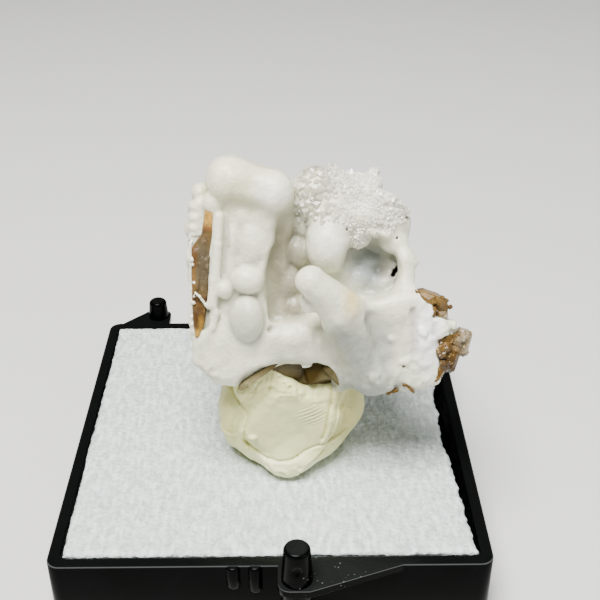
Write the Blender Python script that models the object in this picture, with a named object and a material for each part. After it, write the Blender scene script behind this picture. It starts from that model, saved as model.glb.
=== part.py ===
"""Barite blades under a white quartz crust, held by putty on the foam of a small black box base.

Sizes are in millimetres and are scaled to metres where each mesh is made.
World frame: +Z up, origin at the bottom centre of the box base, +X right, +Y to the back.
The specimen leans back, so its pieces are modelled in a frame of their own:
x runs right, y runs into the stone and z runs up along its front face.
"""
import math
import random

import bmesh
import bpy
from mathutils import Euler, Matrix, Vector
from mathutils.bvhtree import BVHTree

# Driving dimensions, in millimetres and degrees
MM = 0.001
GAP = 0.3

BASE_WIDTH = 53.0
BASE_HEIGHT = 9.0
BASE_WALL = 1.5
BASE_FLOOR = 1.5
BASE_CORNER = 1.6
CORNER_STEPS = 3
RECESS_CORNER = 1.0
ABOVE_RIM = 1.0
FLANGE_REACH = 4.0
FLANGE_THICK = 1.1
FLANGE_ROOT = 0.5
FLANGE_MARGIN = 0.35
FLANGE_CORNER = ((0.0, 1.2), (0.5, 0.35), (1.4, 0.0))
FLANGE_FLAT = 1.5
FRONT_POST = {"x": 3.1, "radius": 1.87, "top_radius": 1.6, "rise": 4.9, "run": 12.5}
BACK_POST = {"x": 19.0, "radius": 1.6, "top_radius": 1.4, "rise": 3.0, "run": 5.5}
POST_INSET = 0.25
POST_ROUNDING = (0.4, 0.5)
POST_SIDES = 16
RIB_SIDES = 12
RIB_PLACES = (-1.8, -4.4)
RIB_RADIUS = 0.9
RIB_PROUD = 0.6

FOAM_TOP = 9.3
FOAM_STEP = 4.0
FOAM_BEVEL = 0.35
FOAM_WANDER = 0.25
FOAM_RIGHT_CUT = 1.4
FOAM_RIGHT_WANDER = (-0.2, 0.3)
FOAM_SEED = 5

PUTTY_BOTTOM = FOAM_TOP + GAP
PUTTY_VOXEL = 0.75
PUTTY_TRIANGLES = 800
PUTTY_FLOOR_REACH = 20.0
PUTTY_FLOOR_DEPTH = 15.0

SPECIMEN_ORIGIN = (8.0, -4.0, 33.0)
SPECIMEN_LEAN = 20.0
CRUST_VOXEL = 0.42
CRUST_TRIANGLES = 3000
SMOOTH_ROUNDS = 5

# Large forms of the crust: centre, half size, edge rounding, turn about x, y and z
SLABS = {
    "left_blade": ((-15.8, 2.8, 1.6), (1.5, 6.2, 10.6), 1.0, (0, 1.5, 0)),
    "column": ((-10.8, 0.8, 0.0), (3.2, 4.4, 11.0), 2.0, (0, 2, 0)),
    "lower_left": ((-12.8, 0.4, -6.9), (3.8, 4.2, 4.1), 2.4, (0, -6, 0)),
    "cap": ((-10.3, -0.6, 13.7), (4.95, 4.4, 2.7), 2.5, (0, 9, 0)),
    "neck": ((-10.4, 0.0, 10.6), (3.6, 3.9, 2.2), 1.8, (0, 6, 0)),
    "middle_back": ((-4.5, 6.4, 1.0), (6.5, 4.0, 10.2), 2.0, (0, 0, 0)),
    "druse_ledge": ((2.0, 2.8, 11.0), (6.8, 5.0, 3.3), 2.6, (0, 8, 0)),
    "right_body": ((3.7, 4.4, -3.0), (5.4, 4.6, 7.8), 2.6, (0, 0, 0)),
    "plate": ((8.0, -1.8, -5.8), (4.3, 2.4, 6.2), 1.6, (4, -10, 4)),
    "skirt": ((1.2, 0.4, -7.6), (4.6, 2.9, 5.4), 1.8, (0, -16, 0)),
    "bridge": ((-5.2, 0.4, -5.6), (4.2, 3.6, 2.9), 2.0, (18, 0, 0)),
    "back_blade_a": ((-2.2, 8.0, 2.2), (9.0, 1.4, 8.4), 1.1, (10, 0, -8)),
    "back_blade_b": ((-8.4, 8.0, 0.6), (1.4, 4.6, 8.6), 1.1, (0, 14, 16)),
    "back_blade_c": ((3.4, 8.6, -1.0), (1.4, 4.4, 7.8), 1.1, (0, -14, -24)),
    "back_blade_d": ((-2.6, 9.2, -3.6), (6.2, 3.0, 1.2), 1.0, (14, -10, 0)),
}

# Rounded lumps of the crust: centre, radii
BALLS = {
    "druse_right": ((6.0, 1.8, 8.4), (3.4, 3.6, 3.2)),
    "upper_lobe": ((-0.8, -1.0, 6.4), (2.9, 3.3, 3.7)),
    "plate_right": ((12.0, -0.8, -6.4), (2.2, 2.8, 4.6)),
    "plate_point": ((13.6, -1.0, -4.6), (1.6, 1.7, 1.2)),
    "ball_a": ((-10.9, -3.5, 2.5), (2.2, 1.9, 2.1)),
    "ball_b": ((-10.8, -3.6, -2.6), (2.4, 2.2, 3.2)),
    "ball_c": ((-13.4, -3.2, 1.2), (1.1, 1.1, 1.2)),
    "bump_left": ((-11.9, -3.0, 8.3), (1.7, 1.2, 1.8)),
    "bump_right": ((-9.3, -3.2, 8.4), (1.6, 1.2, 2.0)),
    "bump_middle": ((-10.0, -3.2, 5.4), (2.2, 1.2, 1.6)),
    "dome": ((-14.7, -2.9, 11.7), (1.1, 1.0, 1.2)),
    "block": ((-16.2, -0.2, 12.2), (1.2, 1.8, 1.5)),
    "edge_a": ((-16.6, -1.2, 10.4), (0.9, 1.2, 1.1)),
    "edge_b": ((-16.8, -1.5, 8.8), (0.9, 1.1, 1.1)),
    "edge_c": ((-16.8, -1.8, 7.2), (0.8, 1.0, 1.0)),
    "recess_a": ((-6.6, 0.6, 8.0), (1.3, 2.6, 3.6)),
    "recess_b": ((-4.8, 1.2, 4.6), (1.5, 1.8, 2.0)),
    "recess_c": ((-5.6, 0.8, 1.3), (1.6, 1.8, 2.2)),
    "recess_d": ((-7.3, 0.8, -0.3), (0.9, 1.2, 1.3)),
    "recess_e": ((-5.0, 0.0, -1.4), (1.6, 1.8, 1.8)),
    "recess_f": ((-6.4, -0.8, -3.6), (2.0, 1.8, 2.2)),
    "finger_bump": ((-3.9, -5.2, -0.7), (0.9, 1.2, 1.0)),
    "foot_a": ((1.8, -2.2, -10.0), (1.6, 1.2, 1.6)),
    "foot_b": ((4.2, -2.6, -11.2), (1.9, 1.4, 1.8)),
    "foot_c": ((6.2, -3.2, -10.0), (1.2, 1.3, 1.8)),
    "foot_d": ((9.4, -2.4, -10.6), (1.8, 1.3, 1.5)),
    "plate_bump": ((6.7, -4.2, -5.1), (0.7, 0.7, 0.7)),
    "plate_lump": ((10.5, -3.4, -5.0), (1.1, 1.2, 2.2)),
    "plate_top": ((7.0, -3.6, -1.4), (3.0, 1.2, 1.6)),
}

# Round-ended rods of the crust: start, end, radius at each end
RODS = {
    "finger": ((-3.05, -7.4, 2.6), (0.4, -5.4, -0.9), 1.8, 2.6),
    "flank": ((1.6, -4.2, -1.6), (5.4, -2.6, -9.6), 2.0, 1.7),
    "rim_upper": ((8.3, 0.2, 7.8), (8.7, -1.4, 4.4), 1.1, 0.8),
    "rim_lower": ((8.7, -1.4, 4.4), (8.8, -2.0, 1.0), 0.8, 1.5),
    "strip_ridge": ((-14.4, -2.9, 11.2), (-15.2, -3.4, -3.5), 0.8, 0.6),
}

# Hollows cut into the crust: centre, radii
HOLLOWS = {
    "cavity": ((4.9, -2.6, 3.4), (3.5, 4.6, 3.1)),
    "arch": ((-4.6, -6.4, -12.4), (7.2, 7.0, 5.0)),
}

# Faces of the slabs that carry grown lumps: slab, axis, side, number, seed
LUMPY_FACES = (
    ("back_blade_a", 1, 1, 22, 11),
    ("back_blade_a", 2, 1, 7, 12),
    ("back_blade_b", 1, 1, 5, 19),
    ("back_blade_c", 1, 1, 5, 20),
    ("left_blade", 0, -1, 22, 13),
    ("left_blade", 1, 1, 6, 14),
    ("right_body", 0, 1, 18, 15),
    ("right_body", 1, 1, 8, 16),
    ("druse_ledge", 1, 1, 8, 18),
)
LUMP_RADII = (0.9, 1.8)
LUMP_SPREAD = 0.88
LUMP_SUNK = 0.35

CRYSTAL_ROWS = 7
CRYSTAL_COLUMNS = 10
CRYSTAL_RADII = (0.8, 1.35)
CRYSTAL_SEED = 41
CRYSTAL_SHIFT = 0.3
CRYSTAL_LEAN = 0.32
CRYSTAL_TIP = 1.05
CRYSTAL_SHOULDER = 0.1
CRYSTAL_ROOT = 0.9
DRUSE_SPAN = (-4.8, 8.6)
DRUSE_HEIGHTS = (7.4, 15.0)
DRUSE_DEPTH = 3.0
DRUSE_TURN = 1.4
RAY_START = 20.0
BARE_SPLIT = 2.2
BARE_LOBE = 9.6
BARE_CAVITY = 7.6

# The broken edge of the left barite blade, as an outline of x and z
STRIP_OUTLINE = (
    (-15.5, 10.7), (-14.5, 10.7), (-14.6, 8.0), (-14.9, 5.0), (-15.2, 2.0),
    (-15.5, -1.0), (-15.9, -3.3), (-16.6, -5.1), (-17.0, -5.0), (-17.2, -3.0),
    (-17.1, -0.6), (-16.8, 0.6), (-16.9, 3.0), (-16.8, 5.6), (-16.2, 7.2),
)
STRIP_FRONT = -3.9
STRIP_BACK = 0.6
STRIP_LEAN = 0.11
STRIP_TOP = 10.0
STRIP_BOTTOM = -4.5

# Barite tablets: centre, half size, turn about x, y and z
TABLET_BEVEL = 0.34
UPPER_TABLETS = (
    ((12.2, -0.9, -0.7), (2.3, 1.7, 0.8), (8, 14, 0)),
    ((13.4, -1.0, -2.1), (1.1, 1.8, 1.8), (0, 6, 10)),
    ((12.0, -1.6, -2.6), (0.6, 1.3, 1.8), (0, -10, -8)),
    ((10.2, -1.5, 0.1), (1.0, 1.2, 0.7), (0, -22, 12)),
)
LOWER_TABLETS = (
    ((16.1, -1.0, -6.6), (0.9, 1.7, 1.8), (0, 10, 8)),
    ((14.9, -1.4, -7.9), (1.0, 1.8, 2.4), (0, 14, -6)),
    ((13.6, -1.7, -10.0), (0.8, 1.3, 1.6), (0, 24, 0)),
    ((13.8, -2.2, -7.2), (1.0, 1.0, 0.8), (10, -20, 0)),
)
FOOT_TABLETS = (
    ((8.6, -2.8, -11.9), (1.9, 1.3, 0.55), (0, 26, 0)),
    ((7.0, -2.6, -11.9), (1.2, 1.2, 0.5), (0, -8, 0)),
)
CORE_TABLETS = (
    ((-4.3, 3.4, -9.7), (5.3, 3.5, 2.4), (6, 4, 0)),
    ((-6.4, 2.7, -9.3), (2.8, 3.5, 1.65), (0, 16, 10)),
    ((-1.4, 2.6, -9.9), (2.6, 3.6, 1.7), (0, -18, -8)),
)

# The putty lump, in the world frame: slabs as above, then balls
PUTTY_SLABS = (
    ((2.3, -2.8, 15.2), (8.5, 7.0, 6.6), 5.6, (-4, 0, 4)),
    ((2.2, -5.6, 15.9), (5.3, 4.9, 5.3), 2.4, (-10, 38, -3)),
)
PUTTY_BALLS = (
    ((2.2, -3.0, 12.2), (7.6, 7.5, 4.4)),
    ((1.8, -7.4, 11.6), (3.6, 4.3, 3.4)),
    ((0.8, -8.2, 23.6), (1.9, 1.7, 1.9)),
    ((-2.6, -7.4, 21.0), (2.2, 2.2, 2.2)),
    ((6.6, -5.4, 19.2), (3.4, 3.6, 2.4)),
    ((-2.8, -10.0, 14.6), (1.2, 1.1, 1.7)),
    ((-5.2, -5.0, 15.6), (1.7, 3.6, 5.2)),
)

COLOURS = {
    "black_plastic": ((0.012, 0.013, 0.014), 0.18),
    "foam_white": ((0.80, 0.83, 0.83), 0.95),
    "putty_cream": ((0.80, 0.79, 0.62), 0.55),
    "quartz_white": ((0.86, 0.86, 0.83), 0.38),
    "barite_brown": ((0.42, 0.26, 0.11), 0.30),
}


def remove_everything():
    for thing in list(bpy.data.objects):
        bpy.data.objects.remove(thing, do_unlink=True)


def material(name):
    found = bpy.data.materials.get(name)
    if found:
        return found
    colour, roughness = COLOURS[name]
    made = bpy.data.materials.new(name)
    made.use_nodes = True
    shader = made.node_tree.nodes["Principled BSDF"]
    shader.inputs["Base Color"].default_value = (*colour, 1.0)
    shader.inputs["Roughness"].default_value = roughness
    shader.inputs["Metallic"].default_value = 0.0
    return made


def object_from(name, bm, slot, parent=None):
    """Turn a bmesh in millimetres into an object in metres."""
    bmesh.ops.recalc_face_normals(bm, faces=bm.faces)
    bmesh.ops.scale(bm, vec=(MM, MM, MM), verts=bm.verts)
    mesh = bpy.data.meshes.new(name)
    bm.to_mesh(mesh)
    bm.free()
    mesh.materials.append(material(slot))
    made = bpy.data.objects.new(name, mesh)
    bpy.context.collection.objects.link(made)
    made.parent = parent
    return made


def as_cutter(cutter):
    cutter.hide_render = True
    cutter.display_type = "WIRE"
    return cutter


def add_boolean(target, operation, other):
    step = target.modifiers.new(operation.lower() + "_" + other.name, "BOOLEAN")
    step.operation = operation
    step.solver = "EXACT"
    step.use_self = True
    step.object = other


def add_remesh(target, voxel):
    step = target.modifiers.new("fuse", "REMESH")
    step.mode = "VOXEL"
    step.voxel_size = voxel * MM


def add_smooth(target, rounds):
    step = target.modifiers.new("soften", "SMOOTH")
    step.factor = 0.5
    step.iterations = rounds


def triangle_count(target):
    graph = bpy.context.evaluated_depsgraph_get()
    mesh = target.evaluated_get(graph).data
    mesh.calc_loop_triangles()
    return len(mesh.loop_triangles)


def add_decimate(target, triangles):
    ratio = min(1.0, triangles / triangle_count(target))
    step = target.modifiers.new("lighten", "DECIMATE")
    step.ratio = ratio


def turned(centre, turn):
    angles = [math.radians(a) for a in turn]
    return Matrix.Translation(centre) @ Euler(angles).to_matrix().to_4x4()


def add_slab(bm, centre, half, rounding, turn):
    """A box with rounded edges."""
    box = bmesh.ops.create_cube(bm, size=2.0)["verts"]
    bmesh.ops.scale(bm, vec=half, verts=box)
    edges = list({edge for vert in box for edge in vert.link_edges})
    done = bmesh.ops.bevel(bm, geom=edges + box, offset=rounding, segments=4, profile=0.5, affect="EDGES")
    grown = list({vert for face in done["faces"] for vert in face.verts})
    bmesh.ops.transform(bm, matrix=turned(centre, turn), verts=grown)


def add_ball(bm, centre, radii, detail=3):
    ball = bmesh.ops.create_icosphere(bm, subdivisions=detail, radius=1.0)["verts"]
    bmesh.ops.scale(bm, vec=radii, verts=ball)
    bmesh.ops.translate(bm, vec=centre, verts=ball)


def add_hull(bm, points):
    """The convex solid around some points, kept apart from what the mesh already holds."""
    piece = bmesh.new()
    for point in points:
        piece.verts.new(point)
    hull = bmesh.ops.convex_hull(piece, input=piece.verts)
    inside = [thing for thing in hull["geom_interior"] if isinstance(thing, bmesh.types.BMVert)]
    bmesh.ops.delete(piece, geom=inside, context="VERTS")
    copied = {vert: bm.verts.new(vert.co) for vert in piece.verts}
    for face in piece.faces:
        bm.faces.new([copied[vert] for vert in face.verts])
    piece.free()


def add_rod(bm, start, end, start_radius, end_radius):
    """A round-ended rod that tapers from one radius to the other."""
    ball = bmesh.new()
    bmesh.ops.create_icosphere(ball, subdivisions=3, radius=1.0)
    shell = [vert.co.copy() for vert in ball.verts]
    ball.free()
    points = [Vector(start) + way * start_radius for way in shell]
    points += [Vector(end) + way * end_radius for way in shell]
    add_hull(bm, points)


def add_tablet(bm, centre, half, turn, grow):
    """A barite tablet: a box whose side edges and corners are cut to flat faces."""
    a, b, c = [size + grow for size in half]
    flat = 1 - TABLET_BEVEL
    points = []
    for sx, sy, sz in ((x, y, z) for x in (-1, 1) for y in (-1, 1) for z in (-1, 1)):
        points.append(Vector((sx * a, sy * b * flat, sz * c * flat)))
        points.append(Vector((sx * a * flat, sy * b, sz * c * flat)))
        points.append(Vector((sx * a * flat, sy * b * flat, sz * c)))
    place = turned(centre, turn)
    add_hull(bm, [place @ point for point in points])


def rounded_square(half, radius):
    points = []
    for quarter in range(4):
        corner = Vector((half - radius, half - radius))
        turn = Matrix.Rotation(quarter * math.pi / 2, 2)
        for step in range(CORNER_STEPS + 1):
            angle = step / CORNER_STEPS * math.pi / 2
            points.append(turn @ (corner + Vector((math.cos(angle), math.sin(angle))) * radius))
    return points


def add_prism(bm, outline, bottom, top):
    """Extrude a flat outline of x and y from one height to another."""
    floor = bm.faces.new([bm.verts.new((x, y, bottom)) for x, y in outline])
    raised = bmesh.ops.extrude_face_region(bm, geom=[floor])["geom"]
    verts = [thing for thing in raised if isinstance(thing, bmesh.types.BMVert)]
    bmesh.ops.translate(bm, vec=(0, 0, top - bottom), verts=verts)


def circle(x, y, radius, sides):
    angles = [step * math.tau / sides for step in range(sides)]
    return [(x + radius * math.cos(a), y + radius * math.sin(a)) for a in angles]


def post_shape(post, side):
    """A round post from the table up, with a rounded top edge; side is -1 for the front."""
    x = -side * post["x"]
    y = side * (BASE_WIDTH / 2 + FLANGE_REACH - post["radius"] - POST_INSET)
    top = BASE_HEIGHT + post["rise"]
    inward, down = POST_ROUNDING
    profile = (
        (post["radius"], 0.0),
        (post["radius"], BASE_HEIGHT),
        (post["top_radius"], top - down),
        (post["top_radius"] - inward, top),
    )
    pin = bmesh.new()
    rings = [
        [pin.verts.new((*spot, height)) for spot in circle(x, y, radius, POST_SIDES)]
        for radius, height in profile
    ]
    for lower, upper in zip(rings, rings[1:]):
        for step in range(POST_SIDES):
            after = (step + 1) % POST_SIDES
            pin.faces.new((lower[step], lower[after], upper[after], upper[step]))
    pin.faces.new(rings[0][::-1])
    pin.faces.new(rings[-1])
    return pin


def flange_shape(post, side):
    """The thin flange that ties a post to the wall; side is -1 for the front."""
    wall = BASE_WIDTH / 2
    reach = wall + FLANGE_REACH
    left = post["x"] - post["radius"] - FLANGE_MARGIN
    right = post["x"] + post["run"]
    outline = [(left, wall - FLANGE_ROOT)]
    outline += [(left + across, reach - back) for across, back in FLANGE_CORNER]
    outline += [(post["x"] + FLANGE_FLAT, reach), (right, wall), (right, wall - FLANGE_ROOT)]
    flange = bmesh.new()
    turned_outline = [(-side * x, side * y) for x, y in outline]
    add_prism(flange, turned_outline, BASE_HEIGHT - FLANGE_THICK, BASE_HEIGHT)
    return flange


def rib_shapes():
    """The round grip ribs on the front and back walls."""
    ribs = bmesh.new()
    centre = BASE_WIDTH / 2 - RIB_RADIUS + RIB_PROUD
    for side in (-1, 1):
        for place in RIB_PLACES:
            add_prism(ribs, circle(-side * place, side * centre, RIB_RADIUS, RIB_SIDES), 0.0, BASE_HEIGHT)
    return ribs


def build_base():
    bm = bmesh.new()
    add_prism(bm, rounded_square(BASE_WIDTH / 2, BASE_CORNER), 0.0, BASE_HEIGHT)
    base = object_from("box_base", bm, "black_plastic")
    for name, shape in (
        ("front_flange", flange_shape(FRONT_POST, -1)),
        ("front_post", post_shape(FRONT_POST, -1)),
        ("back_flange", flange_shape(BACK_POST, 1)),
        ("back_post", post_shape(BACK_POST, 1)),
        ("grip_ribs", rib_shapes()),
    ):
        add_boolean(base, "UNION", as_cutter(object_from("shape_" + name, shape, "black_plastic")))
    recess = bmesh.new()
    inner = rounded_square(BASE_WIDTH / 2 - BASE_WALL, RECESS_CORNER)
    add_prism(recess, inner, BASE_FLOOR, BASE_HEIGHT + ABOVE_RIM)
    add_boolean(base, "DIFFERENCE", as_cutter(object_from("shape_recess", recess, "black_plastic")))


def foam_outline():
    """The hand-cut edge of the foam: close to the wall, and wandering most on the right."""
    half = BASE_WIDTH / 2 - BASE_WALL - GAP
    count = int(2 * half / FOAM_STEP)
    rng = random.Random(FOAM_SEED)
    outline = []
    for side in range(4):
        turn = Matrix.Rotation(side * math.pi / 2, 2)
        for step in range(count):
            along = -half + 2 * half * step / count
            inset = rng.uniform(0.0, FOAM_WANDER)
            if side == 0 and step:
                inset += FOAM_RIGHT_CUT * math.sin(math.pi * step / count) ** 2
                inset += rng.uniform(*FOAM_RIGHT_WANDER)
            outline.append(turn @ Vector((half - max(0.0, inset), along)))
    return outline


def build_foam():
    bm = bmesh.new()
    add_prism(bm, foam_outline(), BASE_FLOOR + GAP, FOAM_TOP)
    rim = [edge for edge in bm.edges if all(abs(vert.co.z - FOAM_TOP) < MM for vert in edge.verts)]
    bmesh.ops.bevel(bm, geom=rim, offset=FOAM_BEVEL, segments=1, affect="EDGES")
    object_from("foam_pad", bm, "foam_white")


def build_putty(name, grow):
    """The putty lump, or with some growth the room that it needs in the stone above."""
    bm = bmesh.new()
    for centre, half, rounding, turn in PUTTY_SLABS:
        add_slab(bm, centre, [size + grow for size in half], rounding, turn)
    for centre, radii in PUTTY_BALLS:
        add_ball(bm, centre, [radius + grow for radius in radii])
    lump = object_from(name, bm, "putty_cream")
    add_remesh(lump, PUTTY_VOXEL)
    add_smooth(lump, SMOOTH_ROUNDS)
    floor = bmesh.new()
    reach = PUTTY_FLOOR_REACH
    square = ((-reach, -reach), (reach, -reach), (reach, reach), (-reach, reach))
    top = PUTTY_BOTTOM - grow
    add_prism(floor, square, top - PUTTY_FLOOR_DEPTH, top)
    add_boolean(lump, "DIFFERENCE", as_cutter(object_from("shape_floor_of_" + name, floor, "putty_cream")))
    add_decimate(lump, PUTTY_TRIANGLES)
    return lump


def face_lumps(slab, axis, side, count, seed):
    """Places and radii of the lumps grown on one face of a slab."""
    centre, half, _, turn = SLABS[slab]
    place = turned(centre, turn)
    rng = random.Random(seed)
    for _ in range(count):
        radius = rng.uniform(*LUMP_RADII)
        point = [rng.uniform(-LUMP_SPREAD, LUMP_SPREAD) * size for size in half]
        point[axis] = side * (half[axis] - LUMP_SUNK * radius)
        yield place @ Vector(point), radius


def build_crust_body(frame):
    bm = bmesh.new()
    for centre, half, rounding, turn in SLABS.values():
        add_slab(bm, centre, half, rounding, turn)
    for centre, radii in BALLS.values():
        add_ball(bm, centre, radii)
    for start, end, start_radius, end_radius in RODS.values():
        add_rod(bm, start, end, start_radius, end_radius)
    for face in LUMPY_FACES:
        for centre, radius in face_lumps(*face):
            add_ball(bm, centre, (radius, radius, radius), detail=2)
    crust = object_from("quartz_crust", bm, "quartz_white", frame)
    hollows = bmesh.new()
    for centre, radii in HOLLOWS.values():
        add_ball(hollows, centre, radii)
    add_remesh(crust, CRUST_VOXEL)
    carver = as_cutter(object_from("shape_hollows", hollows, "quartz_white", frame))
    add_boolean(crust, "DIFFERENCE", carver)
    add_remesh(crust, CRUST_VOXEL)
    add_smooth(crust, SMOOTH_ROUNDS)
    add_decimate(crust, CRUST_TRIANGLES)
    return crust


def add_crystal(bm, point, way, radius, spin):
    """A six-sided quartz crystal with a flat-faced tip, its root below the point."""
    place = Matrix.Translation(point) @ way.to_track_quat("Z", "Y").to_matrix().to_4x4()
    points = [Vector((0, 0, CRYSTAL_TIP * radius))]
    for step in range(6):
        angle = spin + step * math.tau / 6
        across = Vector((math.cos(angle), math.sin(angle), 0)) * radius
        points.append(across - Vector((0, 0, CRYSTAL_ROOT * radius)))
        points.append(across + Vector((0, 0, CRYSTAL_SHOULDER * radius)))
    add_hull(bm, [place @ corner for corner in points])


def is_druse(point):
    """The druse leaves the smooth lobe and the cavity below it bare."""
    lowest = BARE_LOBE if point.x < BARE_SPLIT else BARE_CAVITY
    return point.z >= lowest


def build_druse(crust, frame):
    """Quartz crystals standing on the upper right of the crust."""
    graph = bpy.context.evaluated_depsgraph_get()
    surface = BVHTree.FromObject(crust, graph)
    rng = random.Random(CRYSTAL_SEED)
    bm = bmesh.new()
    for row in range(CRYSTAL_ROWS):
        for column in range(CRYSTAL_COLUMNS):
            stagger = 0.5 * (row % 2) + rng.uniform(-CRYSTAL_SHIFT, CRYSTAL_SHIFT)
            across = (column + stagger) / (CRYSTAL_COLUMNS - 0.5)
            up = (row + rng.uniform(-CRYSTAL_SHIFT, CRYSTAL_SHIFT)) / (CRYSTAL_ROWS - 1)
            x = DRUSE_SPAN[0] + across * (DRUSE_SPAN[1] - DRUSE_SPAN[0])
            z = DRUSE_HEIGHTS[0] + up * (DRUSE_HEIGHTS[1] - DRUSE_HEIGHTS[0])
            way = Vector((0.0, math.cos(DRUSE_TURN * up), -math.sin(DRUSE_TURN * up)))
            start = Vector((x, DRUSE_DEPTH, z)) - way * RAY_START
            hit, normal, _, _ = surface.ray_cast(start * MM, way)
            lean = Vector([rng.uniform(-CRYSTAL_LEAN, CRYSTAL_LEAN) for _ in range(3)])
            radius = rng.uniform(*CRYSTAL_RADII)
            spin = rng.uniform(0.0, 1.0)
            if hit and is_druse(hit / MM):
                add_crystal(bm, hit / MM, (normal + lean).normalized(), radius, spin)
    return as_cutter(object_from("shape_druse", bm, "quartz_white", frame))


def strip_shape(grow):
    """The broken left blade as a slab behind its outline, or grown to make room for it."""
    count = len(STRIP_OUTLINE)
    middle_x = sum(x for x, _ in STRIP_OUTLINE) / count
    middle_z = sum(z for _, z in STRIP_OUTLINE) / count
    grown = []
    for x, z in STRIP_OUTLINE:
        across = math.copysign(grow, x - middle_x - STRIP_LEAN * (z - middle_z))
        up = grow * ((z > STRIP_TOP) - (z < STRIP_BOTTOM))
        grown.append((x + across, z + up))
    bm = bmesh.new()
    back = [bm.verts.new((x, STRIP_BACK + grow, z)) for x, z in grown]
    front = [bm.verts.new((x, STRIP_FRONT - grow, z)) for x, z in grown]
    for step in range(count):
        after = (step + 1) % count
        bm.faces.new((back[step], back[after], front[after], front[step]))
    ends = [bm.faces.new(back), bm.faces.new(front[::-1])]
    bmesh.ops.triangulate(bm, faces=ends)
    return bm


def tablets_object(name, tablets, frame, grow):
    """A cluster of tablets fused into one solid."""
    bm = bmesh.new()
    for centre, half, turn in tablets:
        add_tablet(bm, centre, half, turn, grow)
    return object_from(name, bm, "barite_brown", frame)


def fused_tablets(name, tablets, frame):
    first = tablets_object(name, tablets[:1], frame, 0.0)
    for number, tablet in enumerate(tablets[1:], 2):
        other = tablets_object("shape_%s_%d" % (name, number), (tablet,), frame, 0.0)
        add_boolean(first, "UNION", as_cutter(other))
    return first


def build_specimen():
    """The crust and its barite pieces; gives back the two that the putty touches."""
    frame = bpy.data.objects.new("specimen_frame", None)
    bpy.context.collection.objects.link(frame)
    frame.location = [value * MM for value in SPECIMEN_ORIGIN]
    frame.rotation_euler = (-math.radians(SPECIMEN_LEAN), 0.0, 0.0)
    crust = build_crust_body(frame)
    add_boolean(crust, "UNION", build_druse(crust, frame))
    object_from("barite_blade_left", strip_shape(0.0), "barite_brown", frame)
    clusters = {}
    rooms = [object_from("shape_room_strip", strip_shape(GAP), "barite_brown", frame)]
    for name, tablets in (
        ("barite_crystals_upper", UPPER_TABLETS),
        ("barite_crystals_lower", LOWER_TABLETS),
        ("barite_blade_foot", FOOT_TABLETS),
        ("barite_core", CORE_TABLETS),
    ):
        clusters[name] = fused_tablets(name, tablets, frame)
        rooms.append(tablets_object("shape_room_" + name, tablets, frame, GAP))
    for room in rooms:
        add_boolean(crust, "DIFFERENCE", as_cutter(room))
    return crust, clusters["barite_core"]


def build_all():
    remove_everything()
    build_base()
    build_foam()
    build_putty("putty_lump", 0.0)
    seat = as_cutter(build_putty("shape_seat", GAP))
    for piece in build_specimen():
        add_boolean(piece, "DIFFERENCE", seat)


build_all()
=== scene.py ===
"""The looks of a barite specimen under a white quartz crust, on putty in a small black box base.

Sizes are in millimetres and are scaled to metres where each mesh is made.
The specimen's forms are in its own leaning frame: x right, y into the stone, z up its face.
Everything else is in the row frame: x right, y to the back, z up.
"""
import math
import random

import bmesh
import bpy
import numpy as np
from mathutils import Euler, Matrix, Vector, noise


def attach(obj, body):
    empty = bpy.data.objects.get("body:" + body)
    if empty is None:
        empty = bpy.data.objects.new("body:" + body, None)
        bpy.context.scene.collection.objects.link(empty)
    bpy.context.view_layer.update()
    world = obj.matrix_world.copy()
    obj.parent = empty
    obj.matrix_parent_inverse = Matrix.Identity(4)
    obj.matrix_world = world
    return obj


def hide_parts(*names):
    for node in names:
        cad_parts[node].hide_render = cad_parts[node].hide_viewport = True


MM = 0.001

# Camera, in millimetres and degrees
CAMERA_PLACE = (2.46, -110.42, 96.58)
CAMERA_PITCH = 31.34
CAMERA_YAW = 0.69
CAMERA_LENS = 60.0
CAMERA_SENSOR = 36.0

# Box base
BASE_WIDTH = 53.0
BASE_HEIGHT = 9.0
BASE_WALL = 1.5
BASE_CORNER = 1.6
FLANGE_REACH = 4.0
FLANGE_THICK = 1.1
FRONT_POST = {"x": 3.1, "radius": 1.87, "top_radius": 1.6, "rise": 4.9, "run": 12.5}
BACK_POST = {"x": 19.0, "radius": 1.6, "top_radius": 1.4, "rise": 3.0, "run": 5.5}
RIB_PLACES = (-1.8, -4.4)
RIB_RADIUS = 0.9
RIB_PROUD = 0.6
RIB_LOW = 4.6

FOAM_TOP = 9.3
FOAM_BOTTOM = 1.8
GAP = 0.3

SPECIMEN_ORIGIN = (8.0, -4.0, 33.0)
SPECIMEN_LEAN = 20.0
CRUST_STEP = 0.21
CRUST_LOW = (-20.0, -12.0, -16.0)
CRUST_HIGH = (19.0, 13.5, 19.0)

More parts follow.
